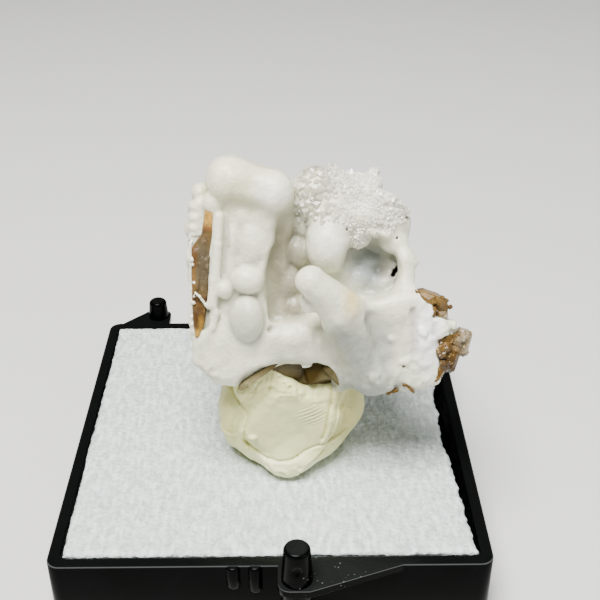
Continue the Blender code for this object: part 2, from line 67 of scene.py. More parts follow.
# Large forms of the crust: centre, half size, edge rounding, turn, blend
SLABS = {
    "left_blade": ((-15.8, 2.8, 1.6), (1.5, 6.2, 10.6), 1.0, (0, 1.5, 0), 0.8),
    "column": ((-10.8, 0.8, -0.4), (3.2, 4.4, 10.6), 1.3, (0, 2, 0), 1.6),
    "lower_left": ((-12.8, 0.4, -6.9), (3.8, 4.2, 4.1), 2.4, (0, -6, 0), 1.8),
    "cap": ((-10.1, -0.6, 13.2), (4.9, 4.4, 2.55), 2.4, (0, 13, 0), 1.2),
    "neck": ((-10.4, 0.4, 10.8), (3.7, 3.7, 2.2), 1.8, (0, 6, 0), 1.4),
    "recess_wall": ((-6.6, 2.6, 4.4), (1.3, 3.6, 8.8), 0.9, (0, 1, -6), 1.2),
    "recess_fill": ((-4.4, 3.6, 3.4), (2.6, 2.6, 8.4), 1.2, (0, 0, 0), 0.6),
    "cavity_back": ((4.2, 5.4, 6.0), (5.0, 4.2, 4.6), 1.6, (0, 0, 0), 1.2),
    "middle_back": ((-4.5, 6.4, 1.0), (6.5, 4.0, 10.2), 2.0, (0, 0, 0), 1.6),
    "druse_ledge": ((2.0, 2.8, 11.0), (6.8, 5.0, 3.3), 2.6, (0, 8, 0), 1.6),
    "right_body": ((3.7, 4.4, -3.0), (5.4, 4.6, 7.8), 2.6, (0, 0, 0), 1.6),
    "plate": ((8.0, -1.8, -5.8), (4.3, 2.4, 6.2), 1.1, (4, -10, 4), 1.0),
    "skirt": ((1.2, 0.4, -7.4), (4.6, 2.9, 4.9), 1.8, (0, -16, 0), 1.4),
    "bridge": ((-5.2, 0.4, -5.6), (4.2, 3.6, 2.9), 2.0, (18, 0, 0), 1.6),
    "back_blade_a": ((-2.2, 8.0, 2.2), (9.0, 1.4, 8.4), 1.1, (10, 0, -8), 1.0),
    "back_blade_b": ((-8.4, 8.0, 0.6), (1.4, 4.6, 8.6), 1.1, (0, 14, 16), 1.0),
    "back_blade_c": ((3.4, 8.6, -1.0), (1.4, 4.4, 7.8), 1.1, (0, -14, -24), 1.0),
    "back_blade_d": ((-2.6, 9.2, -3.6), (6.2, 3.0, 1.2), 1.0, (14, -10, 0), 1.0),
}

# Rounded lumps of the crust: centre, radii, blend
BALLS = {
    "cap_knob": ((-12.7, -1.0, 14.15), (2.35, 3.8, 2.3), 2.2),
    "druse_right": ((6.0, 1.8, 8.4), (3.4, 3.6, 3.2), 1.4),
    "upper_lobe": ((-0.8, -1.0, 6.2), (2.8, 3.3, 3.7), 1.0),
    "lobe_top": ((0.2, -0.4, 9.4), (3.0, 2.6, 2.4), 1.4),
    "druse_middle": ((3.4, -0.2, 9.2), (3.2, 2.8, 2.3), 1.2),
    "overhang_a": ((3.0, -1.6, 7.2), (0.9, 1.1, 0.9), 0.5),
    "overhang_b": ((4.5, -1.9, 7.5), (1.0, 1.1, 0.8), 0.5),
    "overhang_c": ((6.0, -1.6, 7.3), (0.9, 1.1, 0.8), 0.5),
    "plate_right": ((10.9, -0.8, -6.4), (1.8, 2.8, 4.6), 1.2),
    "plate_point": ((13.6, -1.0, -4.6), (1.6, 1.7, 1.2), 0.8),
    "ball_a": ((-10.6, -3.4, 2.15), (2.1, 1.9, 1.8), 0.3),
    "ball_b": ((-10.7, -3.5, -2.5), (2.05, 2.1, 3.0), 0.3),
    "ball_c": ((-13.35, -3.6, 1.0), (1.1, 1.15, 1.15), 0.25),
    "bump_left": ((-12.2, -2.9, 7.2), (0.95, 1.2, 2.4), 0.3),
    "bump_right": ((-8.9, -2.9, 10.1), (1.1, 1.0, 0.9), 0.6),
    "bump_top": ((-11.1, -3.0, 10.2), (1.0, 0.9, 0.8), 0.6),
    "bump_middle": ((-10.0, -2.8, 6.6), (2.0, 1.5, 2.8), 0.3),
    "dome": ((-14.6, -3.1, 11.3), (1.2, 1.15, 1.5), 0.3),
    "block": ((-16.2, -0.8, 12.4), (1.15, 2.0, 1.3), 0.3),
    "edge_a": ((-16.7, -1.9, 10.85), (1.05, 1.4, 0.9), 0.3),
    "edge_b": ((-16.8, -2.1, 9.6), (1.0, 1.4, 0.9), 0.3),
    "edge_c": ((-16.9, -2.2, 8.35), (0.9, 1.3, 0.8), 0.3),
    "edge_d": ((-16.95, -2.3, 7.25), (0.8, 1.2, 0.75), 0.3),
    "recess_b": ((-4.7, 0.8, 5.0), (1.7, 1.9, 2.0), 0.4),
    "recess_c": ((-5.6, 0.6, 1.1), (1.6, 1.9, 2.3), 0.4),
    "recess_d": ((-7.3, 0.8, -0.3), (0.9, 1.2, 1.3), 0.4),
    "recess_e": ((-4.9, 0.6, -1.9), (1.6, 1.9, 1.8), 0.4),
    "recess_f": ((-6.8, 0.4, -2.2), (1.3, 1.9, 2.1), 0.4),
    "recess_g": ((-6.4, 0.6, 8.6), (1.5, 1.6, 2.6), 0.4),
    "recess_h": ((-3.9, 1.0, 8.2), (1.4, 1.7, 1.8), 0.4),
    "finger_bump": ((-3.2, -5.6, -0.2), (1.2, 1.3, 1.3), 0.8),
    "foot_a": ((1.8, -2.2, -10.0), (1.6, 1.2, 1.6), 0.8),
    "foot_b": ((4.2, -2.6, -10.8), (1.9, 1.4, 1.4), 0.8),
    "foot_c": ((6.2, -3.2, -10.0), (1.2, 1.3, 1.8), 0.8),
    "foot_d": ((9.4, -2.4, -10.6), (1.8, 1.3, 1.5), 0.8),
    "plate_bump": ((6.5, -4.3, -5.15), (0.65, 0.6, 0.65), 0.3),
    "plate_lump": ((10.5, -3.4, -5.0), (1.1, 1.2, 2.2), 0.8),
    "plate_top": ((7.0, -3.6, -1.4), (3.0, 1.2, 1.6), 0.9),
}

# Round-ended rods of the crust: start, end, radius at each end, blend
RODS = {
    "finger": ((-3.05, -7.4, 2.6), (0.4, -5.4, -0.9), 1.8, 2.5, 0.6),
    "flank": ((1.3, -4.4, -2.6), (4.6, -2.6, -9.8), 2.9, 2.3, 1.6),
    "rim_point": ((8.6, -1.5, 4.0), (10.0, -1.7, 3.85), 0.9, 0.15, 0.5),
    "cap_drop": ((-6.9, -1.8, 12.0), (-6.5, 0.2, 7.6), 1.5, 1.0, 1.2),
    "rim_upper": ((7.7, 0.2, 7.8), (8.1, -1.4, 4.4), 1.0, 0.8, 1.2),
    "rim_lower": ((8.4, -1.4, 4.4), (8.4, -2.0, 1.0), 1.0, 1.4, 1.0),
    "strip_ridge": ((-14.4, -2.9, 11.2), (-15.2, -3.2, -3.5), 0.8, 0.6, 0.4),
}

# Dents in the large forms, made before the lumps grow: centre, radii, blend
DENTS = {
    "column_side": ((-5.9, -4.6, 1.2), (3.1, 3.1, 6.2), 0.5),
    "under_foot": ((4.0, -12.6, -18.4), (12.0, 12.0, 12.0), 1.0),
}

# Hollows of the crust: centre, radii, blend
HOLLOWS = {
    "cavity": ((4.4, -2.9, 3.3), (3.5, 4.5, 3.7), 0.9),
    "barite_seat": ((12.0, -2.0, 1.3), (2.4, 4.5, 2.6), 0.2),
    "arch": ((-5.8, -6.4, -14.0), (8.6, 7.0, 6.5), 0.25),
    "arch_right": ((-2.3, -3.0, -12.3), (2.9, 4.6, 3.7), 0.25),
    "notch": ((9.1, 1.0, 9.25), (0.8, 6.0, 0.28), 0.1),
}

# Room for the strip of barite on the left edge: centre, half size
STRIP_SEAT = ((-16.55, -4.9, 1.7), (1.35, 1.75, 5.7))

# Rounding and blend of an edge that stays sharp
SHARP = 0.1

# The crust slopes away at the upper right: centre, half size, turn
RIGHT_SLOPE = ((8.72, 3.0, 12.9), (3.0, 12.0, 2.5), (-11, 28, 0))
RIGHT_SLOPE_BLEND = 0.8

# Soft lumps inside the cavity, grown after it was hollowed: centre, radii, blend
CAVITY_LUMPS = {
    "back": ((3.7, 1.9, 3.4), (1.7, 1.3, 1.3), 0.8),
    "tongue": ((2.9, -0.8, 6.6), (1.5, 1.2, 1.1), 0.6),
    "upper_right": ((7.0, -0.4, 6.1), (1.5, 1.2, 1.3), 1.0),
    "lower_left": ((3.4, 1.0, 1.5), (1.8, 1.2, 1.3), 0.8),
    "lower_right": ((6.2, 0.5, 0.9), (1.4, 1.2, 1.2), 0.8),
}

# Thin ridges on the crust: points, radius, blend
RIDGES = (
    (((-17.0, -3.95, 0.9), (-16.3, -4.05, 0.2), (-15.4, -4.0, -1.2)), 0.18, 0.1),
    (((-13.85, -3.6, 9.8), (-14.05, -3.7, 6.4), (-14.5, -3.75, 2.2), (-14.9, -3.7, -0.7)), 0.62, 0.3),
    (((-14.9, -3.8, -0.7), (-14.4, -3.8, -1.9), (-14.9, -3.9, -3.6), (-16.4, -3.5, -5.6)), 0.38, 0.3),
    (((-17.35, -3.1, 6.6), (-17.4, -3.2, 3.0), (-17.3, -3.3, -0.6), (-17.2, -3.3, -4.4)), 0.22, 0.2),
    (((-16.9, -3.0, -6.0), (-15.8, -3.2, -8.2), (-14.4, -3.1, -10.2)), 0.3, 0.3),
)

# Grooves and small pits of the crust: points, radius, blend
GROOVES = (
    (((-12.95, -4.1, 9.6), (-13.1, -3.8, 6.0), (-13.4, -3.7, 3.0)), 0.4, 0.3),
    (((-7.55, -2.3, 5.4), (-7.55, -2.3, -2.6)), 0.6, 0.8),
    (((-7.9, -3.3, -4.1), (-6.4, -3.1, -3.5), (-4.4, -3.0, -2.6)), 0.4, 0.3),
    (((-12.6, -4.6, 11.3), (-10.0, -4.7, 10.6), (-8.2, -4.5, 9.6)), 0.5, 1.2),
    (((-2.6, -3.3, -3.4), (-2.4, -3.6, -7.2)), 0.25, 0.4),
    (((4.2, -5.7, -2.4), (5.7, -5.2, -5.7), (6.5, -5.0, -7.9), (7.1, -5.0, -10.2)), 0.8, 0.9),
    (((9.3, -4.6, -1.6), (9.5, -4.55, -3.4), (9.6, -4.45, -6.9)), 0.4, 0.4),
    (((6.6, -4.6, -8.6), (8.4, -4.2, -8.6)), 0.2, 0.3),
    (((8.2, -4.4, -8.6), (8.4, -3.4, -8.7)), 0.2, 0.1),
    (((7.5, -1.9, 6.85), (7.6, 2.0, 6.8)), 0.2, 0.06),
    (((1.35, -3.2, 8.1), (1.4, -1.4, 8.0)), 0.17, 0.06),
    (((7.25, -0.4, 2.05), (7.5, 4.0, 1.6)), 0.3, 0.06),
    (((7.5, -0.4, 2.5), (7.8, 4.0, 2.2)), 0.34, 0.06),
    (((7.85, -0.6, 2.95), (8.0, 4.0, 2.7)), 0.28, 0.06),
    (((-4.0, -2.6, -1.7), (-4.0, 0.6, -1.8)), 0.3, 0.1),
    (((-5.2, 0.6, 2.9), (-5.0, 3.0, 2.8)), 0.35, 0.2),
)

# White beads on the outer left edge, the upper ones set further in
BEAD_HEIGHTS = (6.3, 5.6, 4.7, 4.1, 3.2, 2.5, 1.9, 1.0, 0.2, -0.6, -1.6, -2.4, -3.3, -4.2)
BEAD_RADIUS = 0.29
BEAD_X = -17.35
BEAD_Y = -3.1
BEAD_INSET = 0.3
BEAD_INSET_ABOVE = -1.0
BEAD_SEED = 8

# Chips of crust, one under the arch and the rest on the plate's broken edge: centre, half size, turn
CHIPS = (
    ((-3.4, -1.5, -9.0), (0.7, 0.35, 0.35), (0, -6, 0)),
    ((8.6, -3.2, 0.2), (0.7, 0.8, 0.35), (0, 20, 10)),
    ((9.8, -3.2, -0.9), (0.8, 0.8, 0.4), (0, 30, -10)),
    ((11.0, -3.2, -1.9), (0.7, 0.8, 0.5), (0, 38, 0)),
    ((12.2, -2.6, -3.3), (1.1, 1.0, 0.45), (0, 10, 12)),
    ((13.6, -2.0, -3.7), (1.2, 1.1, 0.5), (0, 6, 0)),
    ((12.8, -2.4, -4.8), (0.9, 1.0, 0.5), (0, -24, 0)),
    ((11.4, -2.8, -6.6), (0.6, 1.0, 0.6), (0, -20, 8)),
    ((11.2, -2.8, -8.4), (0.5, 1.0, 0.7), (0, 12, 0)),
    ((11.0, -2.8, -10.0), (0.6, 1.0, 0.6), (0, 40, 0)),
)
CHIP_ROUNDING = 0.06
CHIP_BLEND = 0.15

# Small broken lumps on the coat: span across, span up, number
RUBBLE = (
    ((10.0, 11.6), (-10.6, -1.4), 12), ((11.8, 14.0), (-4.8, -3.4), 8),
    ((4.0, 10.0), (-11.6, -9.4), 12), ((6.8, 9.4), (-9.2, -7.6), 6),
    ((-16.0, -11.0), (-10.4, -8.4), 5),
)
RUBBLE_SIZE = (0.25, 0.55)
RUBBLE_SUNK = 0.32
RUBBLE_TURN = 35
RUBBLE_BLEND = 0.3
RUBBLE_SEED = 14

# The coat's wavy skin: cell, depth, seed
CRUST_WAVES = ((2.4, 0.13, 3), (1.1, 0.06, 4))
BROKEN_WAVES = (0.75, 0.1, 5)

# Faces of the slabs that carry grown lumps: slab, axis, side, number, seed
LUMPY_FACES = (
    ("back_blade_a", 1, 1, 22, 11),
    ("back_blade_a", 2, 1, 7, 12),
    ("back_blade_b", 1, 1, 5, 19),
    ("back_blade_c", 1, 1, 5, 20),
    ("left_blade", 0, -1, 22, 13),
    ("left_blade", 1, 1, 6, 14),
    ("right_body", 0, 1, 18, 15),
    ("right_body", 1, 1, 8, 16),
    ("druse_ledge", 1, 1, 8, 18),
)
LUMP_RADII = (0.9, 1.8)
LUMP_SPREAD = 0.88
LUMP_SUNK = 0.35
LUMP_BLEND = 0.5


# Distance fields on a grid


class Field:
    """Signed distances on a regular grid, negative inside, in millimetres."""

    FAR = 30.0
    MARGIN = 3.0

    def __init__(self, low, high, step):
        self.low = np.array(low, np.float32)
        self.step = step
        counts = [int(math.ceil((b - a) / step)) + 1 for a, b in zip(low, high)]
        self.axes = [np.float32(a) + np.arange(n, dtype=np.float32) * np.float32(step)
                     for a, n in zip(low, counts)]
        self.value = np.full(counts, self.FAR, np.float32)

    def window(self, centre, reach):
        """The slices of the grid around a place, and the coordinates there."""
        slices = []
        for axis, middle, size in zip(self.axes, centre, reach):
            first = np.searchsorted(axis, middle - size - self.MARGIN)
            last = np.searchsorted(axis, middle + size + self.MARGIN)
            slices.append(slice(int(first), int(last)))
        return tuple(slices), np.ix_(*[axis[part] for axis, part in zip(self.axes, slices)])

    def add(self, shape, blend):
        """Join a shape to the body with a rounded seam."""
        slices, points = self.window(*shape.room())
        self.value[slices] = smooth_union(self.value[slices], shape.distance(points), blend)

    def cut(self, shape, blend):
        """Cut a shape out of the body with a rounded lip."""
        slices, points = self.window(*shape.room())
        self.value[slices] = -smooth_union(-self.value[slices], shape.distance(points), blend)

    def nearest(self, points, margin):
        """The grid places nearest to the points, no closer to the sides than the margin."""
        at = np.rint((points - self.low) / self.step).astype(int)
        return np.clip(at, margin, np.array(self.value.shape) - 1 - margin)

    def beside(self, at, axis, steps):
        """The values that lie some steps along an axis from grid places."""
        moved = at.copy()
        moved[:, axis] += steps
        return self.value[tuple(moved.T)]


def unit(value):
    """The value, kept from 0 to 1."""
    return np.clip(value, 0.0, 1.0)


def smooth_union(a, b, blend):
    near = np.maximum(blend - np.abs(a - b), 0.0) / blend
    return np.minimum(a, b) - near * near * (blend * 0.25)


def turn_matrix(turn):
    return Euler([math.radians(angle) for angle in turn]).to_matrix()


def placed(centre, turn):
    """The matrix that turns a shape and moves it to its centre."""
    return Matrix.Translation(centre) @ turn_matrix(turn).to_4x4()


class Ball:
    """An ellipsoid that isn't turned."""

    def __init__(self, centre, radii):
        self.centre = centre
        self.radii = radii

    def room(self):
        return self.centre, [max(self.radii)] * 3

    def distance(self, points):
        local = [p - np.float32(c) for p, c in zip(points, self.centre)]
        scaled = np.sqrt(sum((p / r) ** 2 for p, r in zip(local, self.radii)))
        slope = np.sqrt(sum((p / (r * r)) ** 2 for p, r in zip(local, self.radii)))
        return scaled * (scaled - 1.0) / np.maximum(slope, 1e-4)


class Slab:
    """A box with rounded edges."""

    def __init__(self, centre, half, rounding, turn):
        self.centre = centre
        self.half = half
        self.rounding = rounding
        self.inverse = np.array(turn_matrix(turn).inverted(), np.float32)

    def room(self):
        return self.centre, [math.hypot(*self.half)] * 3

    def distance(self, points):
        local = [p - np.float32(c) for p, c in zip(points, self.centre)]
        local = [sum(self.inverse[i][j] * local[j] for j in range(3)) for i in range(3)]
        over = [np.abs(p) - (h - self.rounding) for p, h in zip(local, self.half)]
        outside = np.sqrt(sum(np.maximum(q, 0.0) ** 2 for q in over))
        inside = np.minimum(np.maximum(np.maximum(over[0], over[1]), over[2]), 0.0)
        return outside + inside - self.rounding


class Rod:
    """A round-ended rod that tapers."""

    def __init__(self, start, end, start_radius, end_radius):
        self.start = start
        self.end = end
        self.radii = (start_radius, end_radius)

    def room(self):
        middle = [(a + b) / 2 for a, b in zip(self.start, self.end)]
        size = [abs(b - a) / 2 + max(self.radii) for a, b in zip(self.start, self.end)]
        return middle, size

    def distance(self, points):
        along = [b - a for a, b in zip(self.start, self.end)]
        length = sum(a * a for a in along)
        local = [p - np.float32(c) for p, c in zip(points, self.start)]
        share = unit(sum(p * a for p, a in zip(local, along)) / length)
        across = np.sqrt(sum((p - share * a) ** 2 for p, a in zip(local, along)))
        return across - (self.radii[0] + (self.radii[1] - self.radii[0]) * share)


CORNERS = [(i, j, k) for i in (0, 1) for j in (0, 1) for k in (0, 1)]
EDGES = [(a, b) for a in range(8) for b in range(a + 1, 8)
         if sum(abs(p - q) for p, q in zip(CORNERS[a], CORNERS[b])) == 1]

# What mixes the bits of a cell's place and of the seed in the noise
HASH_PLACE = (73856093, 19349663, 83492791)
HASH_SEED = 2654435761
HASH_ROUNDS = ((15, 2246822519), (13, 3266489917))
HASH_BITS = 0xFFFFFFFF
HASH_HALF = 2147483648.0


def value_noise(x, y, z, cell, seed):
    """Smooth random values from -1 to 1 that change over about one cell."""
    scaled = [np.asarray(p, np.float64) / cell for p in (x, y, z)]
    base = [np.floor(p).astype(np.int64) for p in scaled]
    share = [p - b for p, b in zip(scaled, base)]
    share = [s * s * (3 - 2 * s) for s in share]
    total = 0.0
    for corner in CORNERS:
        mixed = seed * HASH_SEED
        weight = 1.0
        for place, step, prime, s in zip(base, corner, HASH_PLACE, share):
            mixed = mixed ^ (place + step) * prime
            weight = weight * (s if step else 1.0 - s)
        mixed = mixed & HASH_BITS
        for shift, factor in HASH_ROUNDS:
            mixed = ((mixed ^ (mixed >> shift)) * factor) & HASH_BITS
        total = total + weight * ((mixed ^ (mixed >> 16)) / HASH_HALF - 1.0)
    return total


def roughen(field, cell, depth, seed, where=None):
    """Push the surface in and out by smooth noise, only near it."""
    near = np.abs(field.value) < 4 * field.step + depth
    i, j, k = np.nonzero(near)
    x, y, z = field.axes[0][i], field.axes[1][j], field.axes[2][k]
    push = depth * value_noise(x, y, z, cell, seed)
    if where is not None:
        push = push * where(x, y, z)
    field.value[i, j, k] += push.astype(np.float32)


def surface_of(field):
    """Points and quads of the field's zero surface, by naive surface nets."""
    value = field.value
    solid = value < 0
    cells = tuple(n - 1 for n in value.shape)
    count = np.zeros(cells, np.int8)
    for i, j, k in CORNERS:
        count += solid[i:i + cells[0], j:j + cells[1], k:k + cells[2]]
    i, j, k = np.nonzero((count > 0) & (count < 8))
    corner_values = [value[i + a, j + b, k + c] for a, b, c in CORNERS]
    total = np.zeros((len(i), 3))
    crossings = np.zeros(len(i))
    for a, b in EDGES:
        crossed = (corner_values[a] < 0) != (corner_values[b] < 0)
        span = corner_values[a] - corner_values[b]
        share = np.where(crossed, corner_values[a] / np.where(crossed, span, 1.0), 0.0)
        start = np.array(CORNERS[a], float)
        way = np.array(CORNERS[b], float) - start
        total += crossed[:, None] * (start + share[:, None] * way)
        crossings += crossed
    points = (np.stack([i, j, k], 1) + total / crossings[:, None]) * field.step + field.low
    number = np.full(cells, -1, np.int64)
    number[i, j, k] = np.arange(len(i))
    quads = []
    for axis in range(3):
        change = np.diff(solid.astype(np.int8), axis=axis)
        a, b = [n for n in range(3) if n != axis]
        for leaving in (True, False):
            at = np.stack(np.nonzero(change == (-1 if leaving else 1)), 1)
            inner = (at[:, a] > 0) & (at[:, b] > 0)
            inner &= (at[:, a] < cells[a]) & (at[:, b] < cells[b])
            at = at[inner]
            ring = []
            for da, db in ((-1, -1), (0, -1), (0, 0), (-1, 0)):
                cell = at.copy()
                cell[:, a] += da
                cell[:, b] += db
                ring.append(number[cell[:, 0], cell[:, 1], cell[:, 2]])
            ring = np.stack(ring, 1)
            flip = leaving == (axis == 1)
            quads.append(ring[:, ::-1] if flip else ring)
    quads = np.concatenate(quads)
    return points, quads[(quads >= 0).all(axis=1)]


def largest_part(points, quads):
    """Drop loose crumbs that the net leaves beside the main body."""
    label = np.arange(len(points))
    while True:
        low = label[quads].min(axis=1)
        after = label.copy()
        for corner in range(4):
            np.minimum.at(after, quads[:, corner], low)
        after = after[after]
        if (after == label).all():
            break
        label = after
    biggest = np.bincount(label).argmax()
    keep = label == biggest
    number = np.cumsum(keep) - 1
    return points[keep], number[quads[keep[quads[:, 0]]]]


# Meshes and materials


def new_object(name, data):
    made = bpy.data.objects.new(name, data)
    bpy.context.scene.collection.objects.link(made)
    return made


def mesh_piece(name, points, faces, material, smooth=True):
    """A new object in metres from points in millimetres and lists of point numbers."""
    mesh = bpy.data.meshes.new(name)
    mesh.from_pydata((np.asarray(points, float) * MM).tolist(), [], faces)
    mesh.materials.append(material)
    mesh.polygons.foreach_set("use_smooth", [smooth] * len(mesh.polygons))
    mesh.update()
    return new_object(name, mesh)


def from_bmesh(bm):
    """The points and faces of a bmesh, which is freed."""
    bm.verts.index_update()
    points = np.array([vert.co[:] for vert in bm.verts])
    faces = [[vert.index for vert in face.verts] for face in bm.faces]
    bm.free()
    return points, faces


def note_points(piece, name, values):
    """Keep one number for each point, for its material to read."""
    layer = piece.data.attributes.new(name, "FLOAT", "POINT")
    layer.data.foreach_set("value", np.asarray(values, np.float32))


def specimen_to_row(points):
    """Points of the leaning specimen frame in the row frame."""
    lean = math.radians(SPECIMEN_LEAN)
    c, s = math.cos(lean), math.sin(lean)
    points = np.asarray(points, float)
    x, y, z = points[:, 0], points[:, 1], points[:, 2]
    turned = np.stack([x, y * c + z * s, -y * s + z * c], 1)
    return turned + np.array(SPECIMEN_ORIGIN)


class Paint:
    """A material's node tree, built a node at a time."""

    def __init__(self, name):
        self.material = bpy.data.materials.new(name)
        self.material.use_nodes = True
        self.tree = self.material.node_tree
        self.shader = self.tree.nodes["Principled BSDF"]
        self.place = self.node("ShaderNodeTexCoord").outputs["Object"]

    def node(self, kind, inputs=None, **settings):
        made = self.tree.nodes.new(kind)
        for key, value in settings.items():
            setattr(made, key, value)
        for key, value in (inputs or {}).items():
            self.feed(made.inputs[key], value)
        return made

    def feed(self, socket, value):
        if isinstance(value, bpy.types.NodeSocket):
            self.tree.links.new(value, socket)
        else:
            socket.default_value = value

    def set(self, **values):
        """Give the shader values or links, by the names of its sockets."""
        for key, value in values.items():
            self.feed(self.shader.inputs[key.replace("_", " ")], value)

    def noise(self, size, detail=2.0, rough=0.5, distortion=0.0):
        """Noise whose features are about this many millimetres across."""
        inputs = {"Vector": self.place, "Scale": 1000.0 / size, "Detail": detail,
                  "Roughness": rough, "Distortion": distortion}
        return self.node("ShaderNodeTexNoise", inputs).outputs["Fac"]

    def cells(self, size):
        inputs = {"Vector": self.place, "Scale": 1000.0 / size}
        return self.node("ShaderNodeTexVoronoi", inputs).outputs["Distance"]

    def spread(self, value, low, high, start=0.0, end=1.0):
        """The value's part from low to high, stretched from start to end."""
        inputs = {"Value": value, "From Min": low, "From Max": high, "To Min": start, "To Max": end}
        return self.node("ShaderNodeMapRange", inputs).outputs["Result"]

    def maths(self, operation, a, b):
        made = self.node("ShaderNodeMath", operation=operation)
        self.feed(made.inputs[0], a)
        self.feed(made.inputs[1], b)
        return made.outputs[0]

    def mix(self, share, a, b, blend="MIX"):
        made = self.node("ShaderNodeMix", data_type="RGBA", blend_type=blend)
        self.feed(made.inputs["Factor"], share)
        self.feed(made.inputs["A"], a)
        self.feed(made.inputs["B"], b)
        return made.outputs["Result"]

    def bump(self, height, distance, strength, under=None):
        """A bump of this many millimetres, over another bump if one is given."""
        inputs = {"Height": height, "Distance": distance * MM, "Strength": strength}
        if under is not None:
            inputs["Normal"] = under
        return self.node("ShaderNodeBump", inputs).outputs["Normal"]

    def attribute(self, name):
        return self.node("ShaderNodeAttribute", attribute_name=name)


def rgb(r, g, b):
    """A colour given in screen values, as linear light."""
    def linear(value):
        value /= 255.0
        return value / 12.92 if value <= 0.04045 else ((value + 0.055) / 1.055) ** 2.4
    return (linear(r), linear(g), linear(b), 1.0)


def quartz_paint():
    paint = Paint("quartz_white_coat")
    # Colour zones of the coat, with its painted shade and painted light, read from the points
    zones = paint.attribute("tint_and_painted_light").outputs["Color"]
    cloud = paint.spread(paint.noise(3.5, 3), 0.35, 0.65)
    colour = paint.mix(paint.maths("MULTIPLY", cloud, 0.3), zones, rgb(232, 232, 228), "MULTIPLY")
    mottle = paint.spread(paint.noise(0.9, 4, 0.6), 0.38, 0.64)
    colour = paint.mix(paint.maths("MULTIPLY", mottle, 0.45), colour, rgb(236, 236, 232), "MULTIPLY")
    grain = paint.noise(0.32, 2, 0.6)
    flakes = paint.maths("MULTIPLY", paint.cells(0.9), paint.attribute("broken").outputs["Fac"])
    soft = paint.bump(paint.noise(1.0, 2), 0.15, 0.6)
    flaked = paint.bump(flakes, 0.14, 0.7, soft)
    fine = paint.bump(paint.cells(0.5), 0.07, 0.6, flaked)
    finest = paint.bump(grain, 0.05, 0.7, fine)
    paint.set(Base_Color=colour, Normal=finest)
    paint.set(Roughness=paint.spread(grain, 0.3, 0.7, 0.3, 0.52))
    paint.set(Subsurface_Weight=0.25, Subsurface_Radius=(1.0, 0.92, 0.78), Subsurface_Scale=0.55 * MM)
    paint.set(IOR=1.54, Coat_Weight=0.12, Coat_Roughness=0.2)
    return paint.material


def druse_paint():
    paint = Paint("quartz_clear_druse")
    cloud = paint.spread(paint.noise(0.9, 3), 0.35, 0.7)
    paint.set(Base_Color=paint.mix(cloud, rgb(244, 240, 224), rgb(226, 222, 204)))
    paint.set(Transmission_Weight=paint.attribute("clear").outputs["Fac"])
    paint.set(Roughness=0.09, IOR=1.544, Subsurface_Weight=0.5)
    paint.set(Subsurface_Radius=(1.0, 0.96, 0.86), Subsurface_Scale=0.35 * MM)
    paint.set(Normal=paint.bump(paint.noise(0.4, 2), 0.01, 0.5))
    return paint.material


def barite_paint(layering, clear, gloss, grit_and_painted_glints, shine):
    paint = Paint("barite_amber")
    zones = paint.attribute("tint_and_painted_light").outputs["Color"]
    layers = paint.spread(paint.noise(0.9, 4, 0.65, 0.6), 0.38, 0.68)
    share = paint.maths("MULTIPLY", layers, layering)
    colour = paint.mix(share, zones, rgb(56, 40, 18))
    grit = paint.noise(0.35, 3, 0.7)
    colour = paint.mix(paint.spread(grit, 0.42, 0.3, 0.0, 0.8 * grit_and_painted_glints), colour, rgb(40, 26, 10))
    # Painted glints: golden specks in the colour stand in for light caught by tiny facets
    colour = paint.mix(paint.spread(grit, 0.6, 0.7, 0.0, 0.8 * grit_and_painted_glints), colour, rgb(226, 188, 122))
    paint.set(Base_Color=colour)
    glass = paint.spread(paint.noise(1.7, 2), 0.4, 0.65, 0.1 * clear, clear)
    paint.set(Transmission_Weight=glass, IOR=1.636, Specular_IOR_Level=shine)
    paint.set(Roughness=paint.spread(paint.noise(0.7, 3), 0.3, 0.7, gloss, gloss + 0.24))
    steps = paint.bump(paint.noise(0.8, 3, 0.6), 0.09, 0.45)
    paint.set(Normal=paint.bump(paint.noise(0.3, 3), 0.03, 0.5, steps))
    return paint.material


def putty_paint():
    paint = Paint("putty_cream_skin")
    zones = paint.attribute("tint_and_painted_light").outputs["Color"]
    cloud = paint.spread(paint.noise(4.0, 3), 0.35, 0.7)
    paint.set(Base_Color=paint.mix(paint.maths("MULTIPLY", cloud, 0.4), zones, rgb(206, 203, 146)))
    paint.set(Roughness=paint.spread(paint.noise(0.6, 3), 0.3, 0.7, 0.42, 0.62))
    soft = paint.bump(paint.noise(1.4, 3, 0.55, 0.4), 0.2, 0.5)
    paint.set(Normal=paint.bump(paint.noise(0.25, 2), 0.02, 0.5, soft))
    paint.set(Subsurface_Weight=0.25, Subsurface_Radius=(1.0, 0.85, 0.5), Subsurface_Scale=0.8 * MM)
    return paint.material


# The foam's streaks are drawn out along y
FOAM_DRAWN = (1.0, 0.34, 1.0)
# The dusty spot at the front post, in metres
DUSTY_PLACE = (0.0068, -0.0288, 0.009)


def foam_paint():
    paint = Paint("foam_white_cells")
    walls = paint.cells(0.8)
    small = paint.cells(0.42)
    patch = paint.spread(paint.noise(2.2, 3), 0.35, 0.7)
    shade = paint.mix(paint.spread(small, 0.1, 0.7), rgb(193, 202, 198), rgb(171, 180, 177))
    drawn = paint.node("ShaderNodeVectorMath", {0: paint.place, 1: FOAM_DRAWN}, operation="MULTIPLY")
    inputs = {"Vector": drawn.outputs["Vector"], "Scale": 1500.0, "Detail": 3.0}
    streak = paint.node("ShaderNodeTexNoise", inputs)
    shade = paint.mix(paint.spread(streak.outputs["Fac"], 0.42, 0.66), shade, rgb(219, 228, 225))
    paint.set(Base_Color=paint.mix(paint.maths("MULTIPLY", patch, 0.5), shade, rgb(205, 210, 208)))
    wide = paint.bump(walls, 0.25, 0.8)
    paint.set(Normal=paint.bump(small, 0.14, 0.8, wide))
    paint.set(Roughness=0.6, Subsurface_Weight=0.2)
    paint.set(Subsurface_Radius=(1.0, 0.98, 0.95), Subsurface_Scale=0.6 * MM)
    return paint.material


